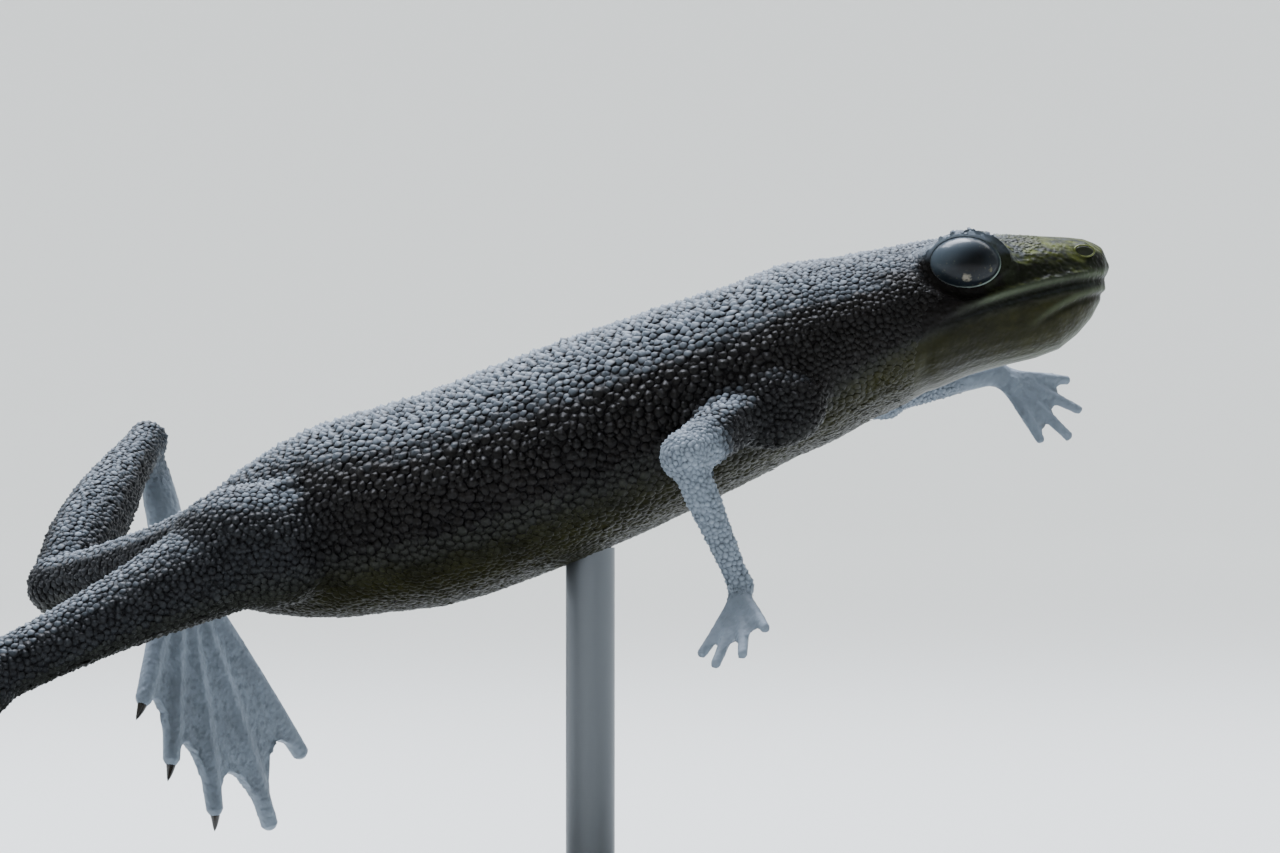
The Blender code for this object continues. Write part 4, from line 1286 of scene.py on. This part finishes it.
def add_rims(side, eye, nostril, settings, material):
    """The lids' edge round the eye, and the raised edge round the nostril, with its dark pit."""
    bm = bmesh.new()
    tints = bm.verts.layers.float_color.new("tint")
    middle, along, up, outward = eye
    lid = add_ring(bm, EYE_OPENING, LID_EDGE, 72)
    slate = Vector(settings.haze) * 0.15
    for vert in lid:
        u, v = vert.co.x / MM, vert.co.y / MM
        angle = math.atan2(v / EYE_OPENING[1], u / EYE_OPENING[0])
        rise = float(ball_rise(EYE_OPENING[0] * math.cos(angle), EYE_OPENING[1] * math.sin(angle)))
        # Painted light: the lid's edge is pale at its lower front, where light shines through it
        front = 0.5 + 0.5 * math.cos(angle + math.radians(35))
        share = front**4
        lift = rise - 0.015 + 0.035 * share + vert.co.z / MM
        vert.co = (middle + along * u + up * v + outward * lift) * MM
        vert[tints] = (*(slate.lerp(Vector(settings.rim), share)), 1.0)
    place, along, up, outward = nostril
    rim = add_ring(bm, NOSTRIL_SPAN, NOSTRIL_EDGE, 40)
    moss = Vector(bpy.context.scene.frog_skin.moss)
    for vert in rim:
        u, v, w = vert.co / MM
        vert.co = (place + along * u + up * v + outward * (w - 0.005)) * MM
        vert[tints] = (*(moss * 0.75), 1.0)
    turn = matrix_of((along, up, outward))
    for vert in add_ball(bm, place - outward * 0.05, NOSTRIL_PIT, 24, 12, turn):
        vert[tints] = rgba(NOSTRIL_FLOOR)
    bmesh.ops.recalc_face_normals(bm, faces=bm.faces[:])
    rims = link_object("lid_and_nostril_" + side, mesh_from(bm, "lid_and_nostril_" + side))
    rims.data.materials.append(material)
    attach(rims, ROOT)


class FROG_OT_eyes(bpy.types.Operator):
    """Eyeballs seated in the lids, with the thin edges of lids and nostrils"""

    bl_idname = "frog.eyes"
    bl_label = "Eyes and nostrils"

    def execute(self, context):
        settings = context.scene.frog_eyes
        glossy = eyeball_material(settings)
        thin = rim_material()
        for side, eye in eye_frames().items():
            add_eyeball(side, eye, glossy)
            add_rims(side, eye, made["nostrils"][side], settings, thin)
        return {"FINISHED"}


# Claws


def claw_material():
    """Black horn, grown in fine layers: nearly black, faintly streaked with brown, and shiny."""
    material, node, coords = new_material("black_horn_claw")
    grain = node("TexNoise", {"Vector": coords, "Scale": 1 / (0.12 * MM)})
    colour = node("Mix", {0: grain, 6: rgba(CLAW_DARK), 7: rgba(CLAW_PALE)}, **COLOURS)
    return finish_material(material, {"Base Color": colour, "Roughness": 0.25})


class FROG_OT_claws(bpy.types.Operator):
    """Black claws on the three inner toes of each foot"""

    bl_idname = "frog.claws"
    bl_label = "Claws"

    def execute(self, context):
        material = claw_material()
        for side in ("right", "left"):
            bm = bmesh.new()
            paths, normal = digit_paths("foot_" + side)
            for path in paths[1 : 1 + CLAWED_TOES]:
                add_claw(bm, path[-1], (path[-1] - path[-2]).normalized(), normal)
            claws = link_object("claws_" + side, mesh_from(bm, "claws_" + side))
            claws.data.materials.append(material)
            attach(claws, ROOT)
        return {"FINISHED"}


def add_claw(bm, tip, way, normal):
    """A short curved cone: rings extruded from a circle along a bending path."""
    rings = 7
    length = 0.86
    side = way.cross(normal)
    loop = bmesh.ops.create_circle(bm, segments=12, radius=1.0)["verts"]
    edges = list({e for v in loop for e in v.link_edges})
    base = [v.co.copy() for v in loop]
    bmesh.ops.contextual_create(bm, geom=edges)
    for k in range(rings + 1):
        f = k / rings
        middle = tip + way * (f * length - 0.12) - normal * 0.16 * f**2
        radius = 0.235 * (1 - f) ** 0.7 + 0.012
        for vert, flat in zip(loop, base):
            vert.co = (middle + (side * flat.x + normal * flat.y) * radius) * MM
        if k < rings:
            grown = bmesh.ops.extrude_edge_only(bm, edges=edges)["geom"]
            loop = [v for v in grown if isinstance(v, bmesh.types.BMVert)]
            edges = [e for e in grown if isinstance(e, bmesh.types.BMEdge)]
    bmesh.ops.contextual_create(bm, geom=edges)
    bmesh.ops.recalc_face_normals(bm, faces=bm.faces[:])


# Stand


def stand_slab():
    """The base: a slab with rounded corners and a small bevel on its upper rim."""
    low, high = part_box("stand_base")
    corner_radius = 4 * MM
    rim_bevel = 0.5 * MM
    bm = bmesh.new()
    bmesh.ops.create_cube(bm, size=1.0)
    size = Matrix.Diagonal((*(high - low), 1.0))
    bmesh.ops.transform(bm, matrix=Matrix.Translation((low + high) / 2) @ size, verts=bm.verts)
    upright = [e for e in bm.edges if abs(e.verts[0].co.z - e.verts[1].co.z) > MM]
    bmesh.ops.bevel(bm, geom=upright, offset=corner_radius, segments=16, **BEVEL)
    rim = [e for e in bm.edges if all(abs(v.co.z - high.z) < 0.01 * MM for v in e.verts)]
    bmesh.ops.bevel(bm, geom=rim, offset=rim_bevel, segments=4, **BEVEL)
    return mesh_from(bm, "stand_slab", smooth=False)


def steel_rod():
    """A round rod on a bevelled foot, its head let into the belly."""
    low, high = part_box("stand_rod")
    middle = (low + high) / 2
    foot_radius = (high.x - low.x) / 2
    rod_radius = 0.9 * MM
    foot_height = 0.8 * MM
    foot_bevel = 0.25 * MM
    into_belly = 0.25 * MM
    bm = bmesh.new()
    height = high.z + into_belly - low.z
    bmesh.ops.create_cone(
        bm, cap_ends=True, segments=64, radius1=rod_radius, radius2=rod_radius, depth=height,
        matrix=Matrix.Translation((middle.x, middle.y, low.z + height / 2)),
    )
    foot = bmesh.ops.create_cone(
        bm, cap_ends=True, segments=64, radius1=foot_radius, radius2=foot_radius, depth=foot_height,
        matrix=Matrix.Translation((middle.x, middle.y, low.z + foot_height / 2)),
    )["verts"]
    top = low.z + foot_height
    rim = {e for v in foot for e in v.link_edges if all(abs(w.co.z - top) < 1e-6 for w in e.verts)}
    bmesh.ops.bevel(bm, geom=list(rim), offset=foot_bevel, segments=4, **BEVEL)
    mesh = mesh_from(bm, "steel_rod")
    mesh.set_sharp_from_angle(angle=math.radians(40))
    return mesh


def slab_material(settings):
    """Moulded plastic: even, dull charcoal with a faint grain from the mould."""
    material, node, coords = new_material("moulded_charcoal_plastic")
    grain = node("TexNoise", {"Vector": coords, "Scale": 1 / (0.35 * MM), "Detail": 2.0})
    bump = node("Bump", {"Height": grain, "Strength": 0.35, "Distance": 0.02 * MM})
    paint = rgba(settings.slab)
    return finish_material(material, {"Base Color": paint, "Normal": bump, "Roughness": 0.6})


def rod_material(settings):
    """Brushed steel: soft grey reflections broken up by fine lines that run round the rod."""
    material, node, coords = new_material("brushed_steel_rod")
    lines = node("Mapping", {"Vector": coords, "Scale": (1.0, 1.0, 24.0)})
    brush = node("TexNoise", {"Vector": lines, "Scale": 1 / (1.2 * MM)})
    return finish_material(material, {
        "Base Color": rgba(settings.steel),
        "Normal": node("Bump", {"Height": brush, "Strength": 0.2, "Distance": 0.01 * MM}),
        "Metallic": 1.0,
        "Roughness": 0.42,
    })


class FROG_OT_stand(bpy.types.Operator):
    """Base slab and rod"""

    bl_idname = "frog.stand"
    bl_label = "Display stand"

    def execute(self, context):
        settings = context.scene.frog_stand
        slab = link_object("stand_slab", stand_slab())
        slab.data.materials.append(slab_material(settings))
        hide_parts("stand_base")
        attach(slab, ROOT)
        rod = link_object("steel_rod", steel_rod())
        rod.data.materials.append(rod_material(settings))
        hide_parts("stand_rod")
        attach(rod, ROOT)
        return {"FINISHED"}


# Stage


def area_light(name, place, aim, size, watts, colour):
    lamp = bpy.data.lights.new(name, "AREA")
    lamp.shape = "RECTANGLE"
    lamp.size, lamp.size_y = (length * MM for length in size)
    lamp.energy = watts
    lamp.color = linear(colour)
    obj = bpy.data.objects.new(name, lamp)
    bpy.context.scene.collection.objects.link(obj)
    obj.location = Vector(place) * MM
    obj.visible_camera = False
    obj.rotation_euler = (Vector(place) - Vector(aim)).to_track_quat("Z", "Y").to_euler()
    return obj


class FROG_OT_stage(bpy.types.Operator):
    """Pale sweep of paper, overhead soft box, faint fill and the camera"""

    bl_idname = "frog.stage"
    bl_label = "Stage"

    def execute(self, context):
        settings = context.scene.frog_stage
        bm = bmesh.new()
        floor, radius, height = 1300.0, 350.0, 1500.0
        verts = [bm.verts.new((0, 0, 0)), bm.verts.new(Vector((floor, 0, 0)) * MM)]
        for k in range(1, 13):
            angle = math.radians(90 * k / 12)
            place = Vector((floor + radius * math.sin(angle), 0, radius * (1 - math.cos(angle))))
            verts.append(bm.verts.new(place * MM))
        verts.append(bm.verts.new(Vector((floor + radius, 0, height)) * MM))
        edges = [bm.edges.new(pair) for pair in zip(verts, verts[1:])]
        bmesh.ops.spin(bm, geom=verts + edges, axis=(0, 0, 1), cent=(0, 0, 0), steps=96, angle=math.tau)
        bmesh.ops.remove_doubles(bm, verts=bm.verts, dist=1e-6)
        bmesh.ops.recalc_face_normals(bm, faces=bm.faces[:])
        sweep = link_object("paper_sweep", mesh_from(bm, "paper_sweep"))
        # Uncoated paper, which gives the light back evenly and without gloss
        material, *_ = new_material("matt_paper")
        finish_material(material, {"Base Color": rgba(settings.paper), "Roughness": 0.9})
        sweep.data.materials.append(material)
        sweep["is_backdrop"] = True
        area_light("overhead", (-60, 100, 420), (0, 0, 22), (340, 150), 4.6, "EEF3FF")
        area_light("side_fill", (-200, -420, 260), (0, 0, 20), (300, 260), 0.14, "FFF6EA")
        area_light("backdrop", (0, 900, 1200), (0, 1150, 0), (2200, 1000), 30.0, "F4F6FA")
        world = bpy.data.worlds.new("studio")
        world.use_nodes = True
        background = world.node_tree.nodes["Background"]
        background.inputs["Color"].default_value = rgba(linear("DDE2E8"))
        background.inputs["Strength"].default_value = 0.3
        context.scene.world = world
        lens = bpy.data.cameras.new("camera")
        lens.sensor_fit = "HORIZONTAL"
        lens.sensor_width = 36.0
        pixels_per_mm = 27.3
        photo_width = 1280
        lens.lens = settings.distance / MM * lens.sensor_width / (photo_width / pixels_per_mm)
        lens.clip_start = 10 * MM
        camera = bpy.data.objects.new("camera", lens)
        context.scene.collection.objects.link(camera)
        camera.location = (4.82 * MM, -settings.distance, 20.65 * MM)
        camera.rotation_euler = (math.radians(90), 0, 0)
        context.scene.camera = camera
        return {"FINISHED"}


class FROG_PT_panel(bpy.types.Panel):
    """Sizes and colours of the frog, with a button for each piece"""

    bl_idname = "FROG_PT_panel"
    bl_label = "Dwarf frog"
    bl_space_type = "VIEW_3D"
    bl_region_type = "UI"
    bl_category = "Frog"

    def draw(self, context):
        for name, group in SETTINGS.items():
            box = self.layout.box()
            for key in group.__annotations__:
                box.prop(getattr(context.scene, name), key)
        for operator in OPERATORS:
            self.layout.operator(operator.bl_idname)


SETTINGS = {
    "frog_skin": FrogSkinSettings,
    "frog_granules": FrogGranuleSettings,
    "frog_eyes": FrogEyeSettings,
    "frog_stand": FrogStandSettings,
    "frog_stage": FrogStageSettings,
}
OPERATORS = (FROG_OT_stage, FROG_OT_skin, FROG_OT_granules, FROG_OT_eyes, FROG_OT_claws, FROG_OT_stand)


def register():
    for name, group in SETTINGS.items():
        bpy.utils.register_class(group)
        setattr(bpy.types.Scene, name, bpy.props.PointerProperty(type=group))
    for cls in (*OPERATORS, FROG_PT_panel):
        bpy.utils.register_class(cls)


def unregister():
    for cls in (FROG_PT_panel, *reversed(OPERATORS)):
        bpy.utils.unregister_class(cls)
    for name, group in SETTINGS.items():
        delattr(bpy.types.Scene, name)
        bpy.utils.unregister_class(group)


def main():
    register()
    bpy.ops.frog.stage()
    bpy.ops.frog.skin()
    bpy.ops.frog.granules()
    bpy.ops.frog.eyes()
    bpy.ops.frog.claws()
    bpy.ops.frog.stand()
    sizes = {"cad": CAD_BOX, "visual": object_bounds()}
    sizes = {name: [list(corner) for corner in box] for name, box in sizes.items()}


if __name__ == "__main__":
    main()
